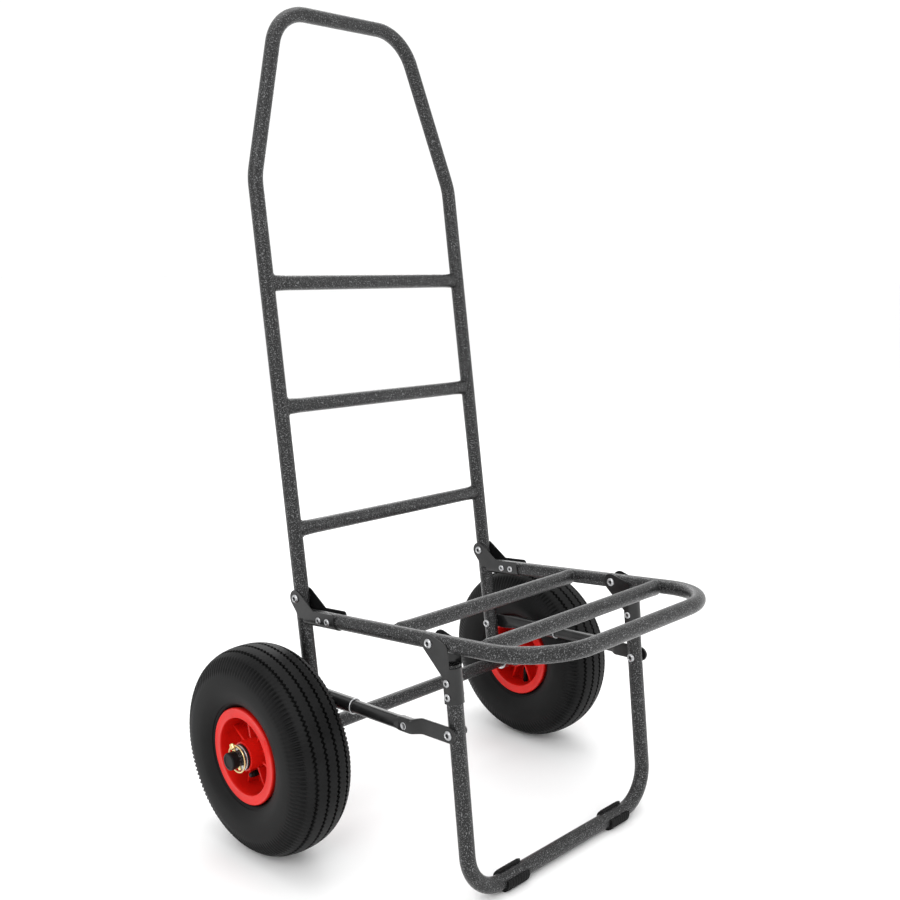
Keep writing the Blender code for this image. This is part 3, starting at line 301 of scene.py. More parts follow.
# ---- Materials ---------------------------------------
class Look:
    """A Principled material with helpers to add its pattern nodes."""

    def __init__(self, name, colour, roughness, metallic=0.0, coat=0.0, specular=0.5):
        self.material = bpy.data.materials.new(name)
        self.material.use_nodes = True
        self.nodes = self.material.node_tree.nodes
        self.links = self.material.node_tree.links
        self.shader = self.nodes["Principled BSDF"]
        self.shader.inputs["Base Color"].default_value = (*colour, 1)
        self.shader.inputs["Roughness"].default_value = roughness
        self.shader.inputs["Metallic"].default_value = metallic
        self.shader.inputs["Coat Weight"].default_value = coat
        self.shader.inputs["Coat Roughness"].default_value = 0.12
        self.shader.inputs["Specular IOR Level"].default_value = specular
        coordinates = self.nodes.new("ShaderNodeTexCoord")
        self.place = coordinates.outputs["Object"]

    def noise(self, scale, detail=3.0, roughness=0.5):
        node = self.nodes.new("ShaderNodeTexNoise")
        node.inputs["Scale"].default_value = scale
        node.inputs["Detail"].default_value = detail
        node.inputs["Roughness"].default_value = roughness
        self.links.new(self.place, node.inputs["Vector"])
        return node.outputs["Fac"]

    def cells(self, scale, smooth=0.6):
        node = self.nodes.new("ShaderNodeTexVoronoi")
        node.feature = "SMOOTH_F1"
        node.inputs["Scale"].default_value = scale
        node.inputs["Smoothness"].default_value = smooth
        self.links.new(self.place, node.inputs["Vector"])
        return node.outputs["Distance"]

    def ramp(self, source, stops):
        node = self.nodes.new("ShaderNodeValToRGB")
        band = node.color_ramp
        while len(band.elements) < len(stops):
            band.elements.new(0.5)
        for element, (position, colour) in zip(band.elements, stops):
            element.position = position
            element.color = (*colour, 1)
        self.links.new(source, node.inputs["Fac"])
        return node.outputs["Color"]

    def spread(self, source, low, high, start=0.0, end=1.0):
        node = self.nodes.new("ShaderNodeMapRange")
        node.inputs["From Min"].default_value = start
        node.inputs["From Max"].default_value = end
        node.inputs["To Min"].default_value = low
        node.inputs["To Max"].default_value = high
        self.links.new(source, node.inputs["Value"])
        return node.outputs["Result"]

    def mix(self, first, second, share):
        node = self.nodes.new("ShaderNodeMix")
        node.data_type = "RGBA"
        node.inputs["Factor"].default_value = share
        self.links.new(first, node.inputs["A"])
        self.links.new(second, node.inputs["B"])
        return node.outputs["Result"]

    def colour(self, source):
        self.links.new(source, self.shader.inputs["Base Color"])

    def roughness(self, source):
        self.links.new(source, self.shader.inputs["Roughness"])

    def bump(self, source, strength, depth):
        node = self.nodes.new("ShaderNodeBump")
        node.inputs["Strength"].default_value = strength
        node.inputs["Distance"].default_value = depth
        self.links.new(source, node.inputs["Height"])
        if self.shader.inputs["Normal"].is_linked:
            below = self.shader.inputs["Normal"].links[0].from_socket
            self.links.new(below, node.inputs["Normal"])
        self.links.new(node.outputs["Normal"], self.shader.inputs["Normal"])


def grey(value):
    return (value, value * 1.01, value * 1.03)


def hammered_paint():
    """Dark hammer-finish paint: bright flakes between dark dimples."""
    look = Look("frame_paint", grey(0.03), 0.30, 0.35, 0.10, 0.40)
    dimples = look.cells(780, 0.25)
    flow = look.noise(520, 4, 0.65)
    flakes = look.ramp(dimples, [(0.12, grey(0.002)), (0.40, grey(0.006)),
                                 (0.64, grey(0.032)), (0.86, grey(0.24))])
    veins = look.ramp(flow, [(0.44, grey(0.002)), (0.58, grey(0.010)), (0.72, grey(0.13))])
    look.colour(look.mix(flakes, veins, 0.40))
    look.roughness(look.spread(flow, 0.20, 0.42))
    look.bump(dimples, 0.65, 0.0006)
    look.bump(look.noise(60, 2), 0.10, 0.0004)
    return look


def smooth_paint():
    """Smooth near-black paint with a faint orange peel."""
    look = Look("bracket_paint", grey(0.010), 0.32, 0.1, 0.15, 0.35)
    peel = look.noise(300, 2)
    cloud = look.noise(45, 3)
    look.colour(look.ramp(cloud, [(0.35, grey(0.006)), (0.70, grey(0.015))]))
    look.roughness(look.spread(cloud, 0.24, 0.38))
    look.bump(peel, 0.12, 0.0002)
    return look


def plated(name, tones, roughness):
    """Plated steel: mottled tone, fine handling marks and an uneven gloss."""
    look = Look(name, tones[1], roughness, 1.0)
    mottle = look.noise(90, 4, 0.6)
    look.colour(look.ramp(mottle, [(0.30, tones[0]), (0.52, tones[1]), (0.74, tones[2])]))
    look.roughness(look.spread(look.noise(400, 3), roughness * 0.75, roughness * 1.45))
    look.bump(look.noise(700, 2), 0.10, 0.0001)
    return look


def rubber(name, dark, light, roughness, grain=900):
    """Moulded rubber: dusty tone, matte with a fine grain."""
    look = Look(name, grey(dark), roughness, specular=0.14)
    dust = look.noise(28, 5, 0.6)
    look.colour(look.ramp(dust, [(0.35, grey(dark)), (0.72, grey(light))]))
    look.roughness(look.spread(dust, roughness * 0.85, min(1.0, roughness * 1.15)))
    look.bump(look.noise(grain, 3), 0.16, 0.0002)
    return look


def red_rim():
    """Moulded red plastic: soft gloss, slight flow marks."""
    look = Look("rim_red", (0.62, 0.008, 0.005), 0.34, specular=0.25)
    flow = look.noise(34, 4, 0.55)
    look.colour(look.ramp(flow, [(0.30, (0.54, 0.006, 0.004)), (0.55, (0.62, 0.009, 0.005)),
                                 (0.78, (0.68, 0.013, 0.008))]))
    look.roughness(look.spread(flow, 0.26, 0.42))
    look.bump(look.noise(420, 2), 0.08, 0.0002)
    return look


LOOKS = {
    "frame_paint": hammered_paint(),
    "bracket_paint": smooth_paint(),
    "zinc": plated("zinc", (grey(0.34), grey(0.46), grey(0.60)), 0.30),
    "yellow_zinc": plated("yellow_zinc", ((0.62, 0.40, 0.20), (0.74, 0.58, 0.28),
                                          (0.66, 0.68, 0.40)), 0.24),
    "tyre": rubber("tyre", 0.0030, 0.0075, 0.55),
    "inner_tube": rubber("inner_tube", 0.006, 0.012, 0.55),
    "rim_red": red_rim(),
    "black_plastic": rubber("black_plastic", 0.004, 0.010, 0.40, 600),
    "foot_rubber": rubber("foot_rubber", 0.005, 0.012, 0.6),
}


# ---- Mesh helpers ------------------------------------
def mesh_of(vertices, faces, matrix=None):
    """Mesh from lists, merged where points meet, with its normals outwards."""
    mesh = bpy.data.meshes.new("piece")
    mesh.from_pydata([tuple(v) for v in vertices], [], faces)
    work = bmesh.new()
    work.from_mesh(mesh)
    bmesh.ops.remove_doubles(work, verts=work.verts, dist=1e-7)
    bmesh.ops.recalc_face_normals(work, faces=work.faces)
    if matrix is not None:
        work.transform(matrix)
    work.to_mesh(mesh)
    work.free()
    return mesh


def joined(meshes):
    """One mesh from several, left unmerged."""
    work = bmesh.new()
    for mesh in meshes:
        work.from_mesh(mesh)
    whole = bpy.data.meshes.new("piece")
    work.to_mesh(whole)
    work.free()
    return whole


def show(name, mesh, body, slot, nodes=(), bevel=0.0, sharp=32):
    """A finished piece that rides on a body and stands for its CAD nodes."""
    mesh.name = name
    mesh.materials.clear()
    mesh.materials.append(LOOKS[slot].material)
    mesh.shade_smooth()
    mesh.set_sharp_from_angle(angle=math.radians(sharp))
    piece = bpy.data.objects.new(name, mesh)
    bpy.context.scene.collection.objects.link(piece)
    if bevel:
        soften = piece.modifiers.new("soft_edges", "BEVEL")
        soften.width = bevel
        soften.segments = 2
        soften.limit_method = "ANGLE"
        soften.angle_limit = math.radians(sharp)
        soften.harden_normals = True
    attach(piece, body)
    if nodes:
        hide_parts(*nodes)
    return piece


def stand_for(node, mesh, bevel=0.0, sharp=32):
    """The piece for one CAD node, with that node's body and slot."""
    return show("look_" + node, mesh, BODY_OF[node], SLOT_OF[node], [node], bevel, sharp)


def circle(count):
    """Angles in equal steps round a full turn."""
    return [math.tau * number / count for number in range(count)]


def powered(value, power):
    """A sine or cosine raised to a power, with its sign kept."""
    return math.copysign(abs(value) ** power, value)


def eased(share):
    """A share from 0 to 1 that starts and stops gently."""
    return share * share * (3 - 2 * share)


def ring_at(place, first, second, sides):
    """Points round an ellipse with the given half axes."""
    return [place + first * math.cos(angle) + second * math.sin(angle)
            for angle in circle(sides)]


def direction_at(path, index):
    """Way a path runs at one of its points."""
    before = path[max(index - 1, 0)]
    after = path[min(index + 1, len(path) - 1)]
    return (after - before).normalized()


def skin(rings, closed_along=False):
    """Faces that join rings of equally many points, with both ends capped."""
    size = len(rings[0])
    vertices = [point for ring in rings for point in ring]
    faces = []
    pairs = len(rings) if closed_along else len(rings) - 1
    for number in range(pairs):
        first = number * size
        second = (number + 1) % len(rings) * size
        for step in range(size):
            after = (step + 1) % size
            faces.append((first + step, first + after, second + after, second + step))
    if not closed_along:
        faces.append(tuple(range(size)))
        faces.append(tuple(range(len(vertices) - size, len(vertices))))
    return vertices, faces


def fillet(before, corner, after, radius, step_deg=4.0):
    """Arc that rounds the corner between two straight runs."""
    back = (before - corner).normalized()
    onward = (after - corner).normalized()
    half = back.angle(onward) / 2
    middle = (back + onward).normalized()
    hub = corner + middle * (radius / math.sin(half))
    swing = math.pi - 2 * half
    count = max(3, round(math.degrees(swing) / step_deg))
    sideways = (onward - back).normalized()
    turns = [-swing / 2 + swing * number / count for number in range(count + 1)]
    return [hub + (sideways * math.sin(t) - middle * math.cos(t)) * radius for t in turns]


def rounded(corners, step_deg=4.0):
    """Path through corners given as (point, radius)."""
    points = [Vector(point) for point, _ in corners]
    path = [points[0]]
    for index in range(1, len(points) - 1):
        path.extend(fillet(points[index - 1], points[index], points[index + 1],
                           corners[index][1], step_deg))
    path.append(points[-1])
    return path


def tube(path, normal, radius, wall=WALL, sides=40, squeeze=None):
    """Hollow tube along a flat path whose plane has the given normal."""
    normal = Vector(normal)

    def ring(index, size):
        side = direction_at(path, index).cross(normal)
        wide, deep = squeeze(path[index]) if squeeze else (1.0, 1.0)
        return ring_at(path[index], normal * (size * wide), side * (size * deep), sides)

    outside = [ring(index, radius) for index in range(len(path))]
    inside = [ring(index, radius - wall) for index in reversed(range(len(path)))]
    return skin(outside + inside, closed_along=True)


def lathe(profile, steps=64, closed=True):
    """Turned shape about X from (radius, x) points; open profiles end on the axis."""
    rows = []
    for angle in circle(steps):
        rows.append([Vector((x, radius * math.sin(angle), radius * math.cos(angle)))
                     for radius, x in profile])
    size = len(profile)
    vertices = [point for row in rows for point in row]
    faces = []
    for step in range(steps):
        first = step * size
        second = (step + 1) % steps * size
        for number in range(size if closed else size - 1):
            after = (number + 1) % size
            faces.append((first + number, first + after, second + after, second + number))
    return vertices, faces


def bead_loop(points, outward, radius=BEAD, sides=8, ripples=14):
    """Weld bead along a closed loop, with the ripples a torch leaves."""
    rings = []
    count = len(points)
    for index, place in enumerate(points):
        along = (points[(index + 1) % count] - points[index - 1]).normalized()
        away = outward[index].normalized()
        side = along.cross(away).normalized()
        size = radius * (1 + BEAD_RIPPLE * math.sin(math.tau * ripples * index / count))
        rings.append(ring_at(place, away * size, side * size, sides))
    return skin(rings, closed_along=True)


def saddle_bead(sign, half_height, half_depth, main_along_z, steps=72):
    """Bead where a cross tube meets a side tube of the truck."""
    points = []
    outward = []
    for angle in circle(steps):
        y = half_depth * math.cos(angle)
        z = half_height * math.sin(angle)
        off = y if main_along_z else z
        x = HALF_WIDTH - math.sqrt(max(TUBE ** 2 - off ** 2, 0))
        points.append(Vector((sign * x, y, z)))
        outward.append(Vector((-sign * BEAD_LEAN, y, z)))
    return bead_loop(points, outward)


def foot_bead(sign, steps=64):
    """Bead where an upright ends on the axle tube."""
    points = []
    outward = []
    for angle in circle(steps):
        x = TUBE * math.cos(angle)
        y = TUBE * math.sin(angle)
        points.append(Vector((sign * HALF_WIDTH + x, y, abs(x))))
        outward.append(Vector((x, y, BEAD_LEAN)))
    return bead_loop(points, outward)


# ---- Tubes -------------------------------------------
def squeezed(place, tuck):
    """A cross tube's depth and height at a place, against a round tube's."""
    inward = HALF_WIDTH - abs(place.x)
    share = eased(max(0.0, 1 - inward / SQUEEZE_LENGTH))
    tucked = max(0.0, 1 - (inward - CROSS_END) / TUCK_LENGTH) ** 2
    return (1 + (SQUEEZE[0] - 1) * share,
            (1 + (SQUEEZE[1] - 1) * share) * (1 - tuck * tucked))


def cross_tube(node, matrix, main_along_z):
    """Rung or crossbar with squeezed ends and a bead at each end."""
    place = seen_from(matrix, middle_plane(node))
    here = matrix @ Matrix.Translation(place)
    reach = HALF_WIDTH - CROSS_END
    tuck = 0.0 if main_along_z else TUCK
    steps = [reach - RINGED_LENGTH * (n / SQUEEZE_RINGS) ** 2
             for n in range(SQUEEZE_RINGS + 1)]
    path = [Vector((-x, 0, 0)) for x in steps] + [Vector((x, 0, 0)) for x in reversed(steps)]
    body = tube(path, (0, 1, 0), TUBE, squeeze=lambda place: squeezed(place, tuck))
    parts = [mesh_of(*body, here)]
    for sign in SIDES.values():
        tall = TUBE * SQUEEZE[1] * (1 - tuck)
        bead = saddle_bead(sign, tall, TUBE * SQUEEZE[0], main_along_z)
        parts.append(mesh_of(*bead, here))
    stand_for(node, joined(parts))


def back_frame():
    """Bent tube from one upright's foot round the handle to the other's."""
    length = (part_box("back_frame_tube")[1].z - TUBE - AXLE.z) / BACK[2][2]
    half = HALF_WIDTH
    path = rounded([
        ((-half, 0, 0), 0),
        ((-half, 0, KINK), BENDS["kink"]),
        ((-HANDLE_HALF, 0, length), BENDS["handle"]),
        ((HANDLE_HALF, 0, length), BENDS["handle"]),
        ((half, 0, KINK), BENDS["kink"]),
        ((half, 0, 0), 0)])
    parts = [mesh_of(*tube(path, (0, 1, 0), TUBE), BACK)]
    for sign in SIDES.values():
        parts.append(mesh_of(*foot_bead(sign), BACK))
    stand_for("back_frame_tube", joined(parts))


def platform_frame():
    """Bent tube round the platform; returns its height in the platform's axes."""
    low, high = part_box("platform_tube")
    front = seen_from(PLATFORM, (0, low.y + TUBE, high.z - TUBE))
    half = HALF_WIDTH
    path = rounded([
        ((-half, -PLATFORM_START, front.z), 0),
        ((-half, front.y, front.z), BENDS["platform"]),
        ((half, front.y, front.z), BENDS["platform"]),
        ((half, -PLATFORM_START, front.z), 0)])
    stand_for("platform_tube", mesh_of(*tube(path, (0, 0, 1), TUBE), PLATFORM))
    return front.z


def leg_frame():
    """U of tube below the platform; returns its depth and its bottom bar's place."""
    level = seen_from(LEG, middle_plane("leg_rivet_upper_left")).y
    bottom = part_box("leg_tube")[0].z + TUBE
    length = (LEG_PIVOT.z - level * -LEG[2][1] - bottom) / LEG[2][2]
    half = HALF_WIDTH
    path = rounded([
        ((-half, level, -LEG_START), 0),
        ((-half, level, -length), BENDS["leg"]),
        ((half, level, -length), BENDS["leg"]),
        ((half, level, -LEG_START), 0)])
    stand_for("leg_tube", mesh_of(*tube(path, (0, 1, 0), TUBE), LEG))
    return level, LEG @ Vector((0, level, -length))


# ---- Sheet brackets ----------------------------------
def ear_arc(radius, before, after, count=18):
    """Arc round a pivot that runs tangent to the lines from and to two corners."""
    start = math.atan2(before.y, before.x) - math.acos(radius / before.length)
    end = math.atan2(after.y, after.x) + math.acos(radius / after.length)
    while end > start:
        end -= math.tau
    angles = [start + (end - start) * number / count for number in range(count + 1)]
    return [Vector((math.cos(a), math.sin(a))) * radius for a in angles]


def folded_sheet(rows, opening, matrix, outwards):
    """Sheet folded round a tube along Y, thickened on one side."""
    strips = []
    for place, power in rows:
        section = [(CHEEK, opening)]
        for number in range(BEND_FACETS + 1):
            angle = math.pi * number / BEND_FACETS
            across = powered(math.cos(angle), power)
            across = 0.0 if number == BEND_FACETS / 2 else across
            down = abs(math.sin(angle)) ** power if 0 < number < BEND_FACETS else 0.0
            section.append((CHEEK * across, -CHEEK * down))
        section.append((-CHEEK, opening))
        strips.append([Vector((x, place, z)) for x, z in section])
    size = len(strips[0])
    vertices = [point for strip in strips for point in strip]
    faces = [(n * size + s, n * size + s + 1, (n + 1) * size + s + 1, (n + 1) * size + s)
             for n in range(len(strips) - 1) for s in range(size - 1)]
    mesh = bpy.data.meshes.new("sheet")
    mesh.from_pydata([tuple(v) for v in vertices], [], faces)
    mesh.transform(matrix)
    sheet = bpy.data.objects.new("sheet", mesh)
    wall = sheet.modifiers.new("wall", "SOLIDIFY")
    wall.thickness = SHEET
    wall.offset = outwards
    wall.use_even_offset = True
    return sheet


def trimmed(sheet, outline, matrix, centre_x):
    """The sheet cut to an outline given in a station's YZ plane."""
    half = CHEEK + SHEET + MARGIN
    ends = [[Vector((centre_x + x, point.x, point.y)) for point in outline]
            for x in (-half, half)]
    cutter = bpy.data.objects.new("outline", mesh_of(*skin(ends), matrix))
    for made in (sheet, cutter):
        bpy.context.scene.collection.objects.link(made)
    trim = sheet.modifiers.new("trim", "BOOLEAN")
    trim.operation = "INTERSECT"
    trim.solver = "EXACT"
    trim.object = cutter
    graph = bpy.context.evaluated_depsgraph_get()
    mesh = bpy.data.meshes.new_from_object(sheet.evaluated_get(graph))
    for made in (sheet, cutter):
        bpy.data.objects.remove(made, do_unlink=True)
    return mesh


def upright_brackets(level):
    """Folded sheet round the rear end of each platform side, with pivot ears."""
    cheek_top = level + TUBE + BRACKET_TOP_RISE
    web_bottom = level - CHEEK - SHEET - MARGIN
    rear_low = Vector((-BRACKET_HEEL, level - BRACKET_HEEL_DROP))
    slope_end = Vector((-BRACKET_SLOPE_END, cheek_top))
    nose = Vector((-BRACKET_LENGTH, cheek_top))
    nose_low = Vector((-BRACKET_LENGTH, web_bottom))
    corner = fillet(slope_end, nose, nose_low, BRACKET_CORNER, step_deg=15)
    outline = [*ear_arc(EAR, slope_end, rear_low), rear_low,
               Vector((-PLATFORM_START, rear_low.y)), Vector((-PLATFORM_START, web_bottom)),
               nose_low, *reversed(corner), slope_end]
    for side, sign in SIDES.items():
        x = sign * HALF_WIDTH
        rows = [(2 * EAR, 1), (-BRACKET_LENGTH - MARGIN, 1)]
        place = PLATFORM @ Matrix.Translation((x, 0, level))
        sheet = folded_sheet(rows, -level + 2 * EAR, place, -1)
        stand_for("upright_bracket_" + side, trimmed(sheet, outline, PLATFORM, x), SOFT_EDGE)


def leg_brackets(level):
    """Folded sheet round the front of each leg's top, with ears at its pivot."""
    cheek_front = level - LEG_CHEEK_FRONT
    web_front = level - CHEEK - SHEET - MARGIN
    tab_rear = level + LEG_TAB_REAR
    slope_end = Vector((tab_rear, -LEG_SLOPE_END))
    front = Vector((cheek_front, LEG_CORNER_RISE))
    ear = ear_arc(EAR, front, slope_end)
    web_top = Vector((cheek_front, -LEG_WEB_START))
    corner = fillet(ear[0], front, web_top, LEG_CORNER, step_deg=10)
    outline = [slope_end, *reversed(ear), *corner, web_top,
               Vector((web_front, -LEG_WEB_START)), Vector((web_front, -LEG_BRACKET_LENGTH)),
               Vector((tab_rear, -LEG_BRACKET_LENGTH))]
    for side, sign in SIDES.items():
        x = sign * HALF_WIDTH
        rows = [(-2 * EAR, SQUARE_WEB), (LEG_WEB_START - WEB_EASE, SQUARE_WEB),
                (LEG_WEB_START, 1), (LEG_BRACKET_LENGTH + MARGIN, 1)]
        place = LEG @ Matrix.Translation((x, level, 0)) @ Matrix.Rotation(-math.pi / 2, 4, "X")
        sheet = folded_sheet(rows, -level + 2 * EAR, place, 1)
        stand_for("leg_bracket_" + side, trimmed(sheet, outline, LEG, x), SOFT_EDGE)


# ---- Rivets ------------------------------------------
def rivet_head(radius, height, base, sign):
    """From the recess's floor over the rolled ring to the edge of the head."""
    return [(radius * out, base + sign * height * rise) for out, rise in RIVET_HEAD]


def rivet(node, heads=(1, 1)):
    """Semi-tubular rivet along X, as long as its CAD node."""
    low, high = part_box(node)
    radius = (high.z - low.z) / 2
    height = LARGE_HEAD if radius > LARGE_RIVET else SMALL_HEAD
    shank = SHANK * radius
    ends = []
    for sign, end, has_head in ((1, high.x, heads[1]), (-1, low.x, heads[0])):
        if has_head:
            points = rivet_head(radius, height, end - sign * height, sign)
            ends.append([*points, (shank, end - sign * height)])
        else:
            ends.append([(0.0, end), (shank, end)])
    middle = middle_plane(node)
    profile = [*ends[0], *reversed(ends[1])]
    stand_for(node, mesh_of(*lathe(profile, 32, closed=False), Matrix.Translation(middle)))


def rivets():
    """Every rivet; the two halves of a stay's rivet have one head each."""
    for side, sign in SIDES.items():
        for kind in ("platform_pivot_rivet", "leg_pivot_rivet", "stay_pivot_rivet",
                     "bracket_rivet_rear", "bracket_rivet_front", "leg_rivet_upper",
                     "leg_rivet_lower"):
            rivet("%s_%s" % (kind, side))
        inboard = (0, 1) if sign < 0 else (1, 0)
        rivet("stay_rivet_tail_" + side, inboard)
        rivet("stay_rivet_head_" + side, tuple(reversed(inboard)))


# ---- Stays -------------------------------------------
def loft(stations, matrix, sides=48):
    """Bar along -Y through (distance, half height, half thickness, shift, power)."""
    rings = []
    for distance, height, thickness, shift, power in stations:
        ring = []
        for number in range(sides):
            angle = math.tau * (number + 0.5) / sides
            across = powered(math.cos(angle), power)
            up = powered(math.sin(angle), power)
            ring.append(Vector((shift + thickness * across, -distance, height * up)))
        rings.append(ring)
    return mesh_of(*skin(rings), matrix)


def between(first, last, count):
    """Stations that ease from one section to another."""
    made = []
    for number in range(1, count + 1):
        share = number / count
        made.append(tuple(
            a + (b - a) * (share if index == 0 else eased(share))
            for index, (a, b) in enumerate(zip(first, last))))
    return made


def round_end(pivot_at, outward, flat, shift):
    """Stations from a flat bar's rounded tip to its pivot."""
    stations = []
    for angle_deg in END_ANGLES:
        angle = math.radians(angle_deg)
        stations.append((pivot_at + outward * STAY_TUBE * math.sin(angle),
                         STAY_TUBE * math.cos(angle), flat, shift, FLAT_POWER))
    stations.append((pivot_at, STAY_TUBE, flat, shift, FLAT_POWER))
    return stations


def outer_stay(side, matrix, inboard):
    """Outer tube, flattened to an ear on the upright, with a plated rim at its mouth."""
    flat = TONGUE / 2
    rim_start = STAY_OUTER_LENGTH - STAY_RIM
    bore = STAY_TUBE - STAY_WALL
    ear = (EAR_END, STAY_TUBE, flat, inboard, FLAT_POWER)
    round_start = (ROUND_START, STAY_TUBE, STAY_TUBE, 0.0, 1.0)
    stations = [*round_end(0.0, -1, flat, inboard), ear, *between(ear, round_start, 10),
                (rim_start, STAY_TUBE, STAY_TUBE, 0.0, 1.0),
                (rim_start, bore, bore, 0.0, 1.0), (STAY_BORE_END, bore, bore, 0.0, 1.0)]
    stand_for("stay_outer_" + side, loft(stations, matrix), SOFT_EDGE)
    lip = STAY_TUBE + RIM_RISE
    rim = [(lip, rim_start), (lip, STAY_OUTER_LENGTH - RIM_ROUND),
           (lip - RIM_ROUND, STAY_OUTER_LENGTH), (bore, STAY_OUTER_LENGTH), (bore, rim_start)]
    turn = matrix @ Matrix.Rotation(-math.pi / 2, 4, "Z")
    show("stay_rim_" + side, mesh_of(*lathe(rim, 48), turn), "stay_outer_" + side,
         "zinc", bevel=SOFT_EDGE)


def inner_stay(side, sign, matrix, inboard):
    """Inner tube with a crimped block, a bright zinc disc on both faces as painted highlight,
    and a tongue on the leg.
    """
    flat = TONGUE / 2
    tongue = STAY_LENGTH - TONGUE_START
    crimp = tongue - CRIMP_LENGTH
    crimp_end = tongue - CRIMP_END
    crimped = (STAY_INNER + STAY_TUBE) / 2
    block = (crimp, crimped, CRIMP_DEPTH / 2, 0.0, CRIMP_POWER)
    block_end = (crimp_end, crimped, CRIMP_DEPTH / 2, 0.0, CRIMP_POWER)
    tongue_start = (tongue + TONGUE_EASE, STAY_TUBE, flat, inboard, FLAT_POWER)
    sliding = (crimp - CRIMP_EASE, STAY_INNER, STAY_INNER, 0.0, 1.0)
    stations = [(STAY_INNER_START, STAY_INNER, STAY_INNER, 0.0, 1.0), sliding,
                *between(sliding, block, 8), block_end, *between(block_end, tongue_start, 8),
                *reversed(round_end(STAY_LENGTH, 1, flat, inboard))]
    stand_for("stay_inner_" + side, loft(stations, matrix), SOFT_EDGE)
    # A bright zinc disc on each face of the crimp: painted highlight for the light on the
    # squeezed flat.
    spot = matrix @ Matrix.Translation((0, -(crimp + crimp_end) / 2, 0))
    for facing in (-1, 1):
        face = facing * (CRIMP_DEPTH / 2 - HIGHLIGHT_SINK)
        highlight_profile = [(radius, face + facing * rise) for radius, rise in CRIMP_HIGHLIGHT]
        show("stay_crimp_%s_%s" % (side, "in" if facing == -sign else "out"),
             mesh_of(*lathe(highlight_profile, 28, closed=False), spot), "stay_inner_" + side, "zinc")


def stays():
    for side, sign in SIDES.items():
        matrix = STAY @ Matrix.Translation((sign * STAY_OFFSET, 0, 0))
        inboard = -sign * (STAY_TUBE - TONGUE / 2)
        outer_stay(side, matrix, inboard)
        inner_stay(side, sign, matrix, inboard)


# ---- Wheels ------------------------------------------
def oval(angle_deg, half_width=TYRE_HALF, depth=TYRE_DEPTH):
    """(radius, across) on the tyre's section; 0 is the widest point, 90 the crown."""
    angle = math.radians(angle_deg)
    across = powered(math.cos(angle), TYRE_POWER) * half_width
    out = powered(math.sin(angle), TYRE_POWER) * depth
    return TYRE_MIDDLE + out, across


def crown_radius(across):
    """Radius of the tyre's outside at a place across the tread."""
    cosine = min(1.0, abs(across) / TYRE_HALF) ** (1 / TYRE_POWER)
    return TYRE_MIDDLE + math.sqrt(1 - cosine ** 2) ** TYRE_POWER * TYRE_DEPTH


def tread_angle(across):
    """Degrees round the section at a place across the tread."""
    return math.degrees(math.acos((abs(across) / TYRE_HALF) ** (1 / TYRE_POWER)))


def tyre_columns():
    """(across or None, angle, depth, zigzag share, shoulder rib share) from bead to bead."""
    width = tread_angle(TREAD_EDGE) - SHOULDER_GAP - SHOULDER_START
    flank = [(None, angle, depth, 0.0, 0.0) for angle, depth in FLANK]
    flank += [(None, SHOULDER_START + width * share, 0.0, 0.0, ribbed)
              for share, ribbed in SHOULDER]
    flank.append((TREAD_EDGE, 0, 0.0, 0.35, 0.9))
    half = [(TREAD_EDGE - EDGE_STEP, 0, 0.0, 1.0, 0.0)]
    floor = GROOVE_FLOOR * GROOVE_HALF
    for place in sorted((g for g in GROOVES if g > 0), reverse=True):
        half += [(place + GROOVE_HALF, 0, 0.0, 1.0, 0.0),
                 (place + floor, 0, GROOVE_DEPTH, 1.0, 0.0),
                 (place - floor, 0, GROOVE_DEPTH, 1.0, 0.0),
                 (place - GROOVE_HALF, 0, 0.0, 1.0, 0.0), (place - LAND, 0, 0.0, 1.0, 0.0)]
    return flank + half


def tyre_mesh():
    """Carcass with zigzag grooves round the tread and fine ribs on the shoulders."""
    columns = tyre_columns()
    inner = [oval(angle, TYRE_HALF - TYRE_WALL, TYRE_DEPTH - TYRE_WALL)
             for angle in CARCASS_ANGLES]
    rings = []
    for facet in range(AROUND):
        turn = math.tau * facet / AROUND
        phase = facet % ZIGZAG_FACETS / ZIGZAG_FACETS
        wave = ZIGZAG * (1 - 4 * abs(phase - 0.5))
        rib = SHOULDER_DEPTH if facet % SHOULDER_FACETS < SHOULDER_FACETS / 2 else 0.0
        section = []
        for side in (1, -1):
            half = []
            for across, angle, depth, zigzag, ribbed in columns:
                if across is None:
                    radius, place = oval(angle)
                    half.append((radius - depth - rib * ribbed, side * place))
                else:
                    place = side * across + wave * zigzag
                    half.append((crown_radius(place) - depth - rib * ribbed, place))
            section += half if side > 0 else list(reversed(half))
        section += [(radius, -across) for radius, across in inner]
        rings.append([Vector((x, r * math.sin(turn), r * math.cos(turn))) for r, x in section])
    return skin(rings, closed_along=True)


def rim_section():
    """Rim section from flange to flange over the well, then the barrel and hub."""
    bead, bead_edge = oval(BEAD_ANGLE)
    seat = bead - CLEARANCE
    outside = [(RIM_RADIUS, RIM_HALF - 0.0012), (RIM_RADIUS, RIM_HALF - 0.003),
               (seat, bead_edge), (seat, bead_edge - SEAT_WIDTH),
               (BARREL + WELL_WALL, bead_edge - WELL_START)]
    inside = [(BARREL, DISH_DEPTH), (RIM_LIP, DISH_EDGE), (RIM_LIP + 0.0008, RIM_HALF),
              (RIM_LIP + 0.004, RIM_HALF - FLANGE_STEP),
              (RIM_RADIUS - 0.004, RIM_HALF - FLANGE_STEP),
              (RIM_RADIUS - 0.0010, RIM_HALF)]
    hub = [(HUB_BORE, HUB_HALF), (HUB_RADIUS, HUB_HALF), (HUB_RADIUS + 0.001, WEB_HALF),
           (BARREL, WEB_HALF)]
    other_outside = [(radius, -x) for radius, x in reversed(outside)]
    other_inside = [(radius, -x) for radius, x in reversed(inside)]
    other_hub = [(radius, -x) for radius, x in reversed(hub)]
    return [*outside, *other_outside, *other_inside, *other_hub, *hub, *inside]


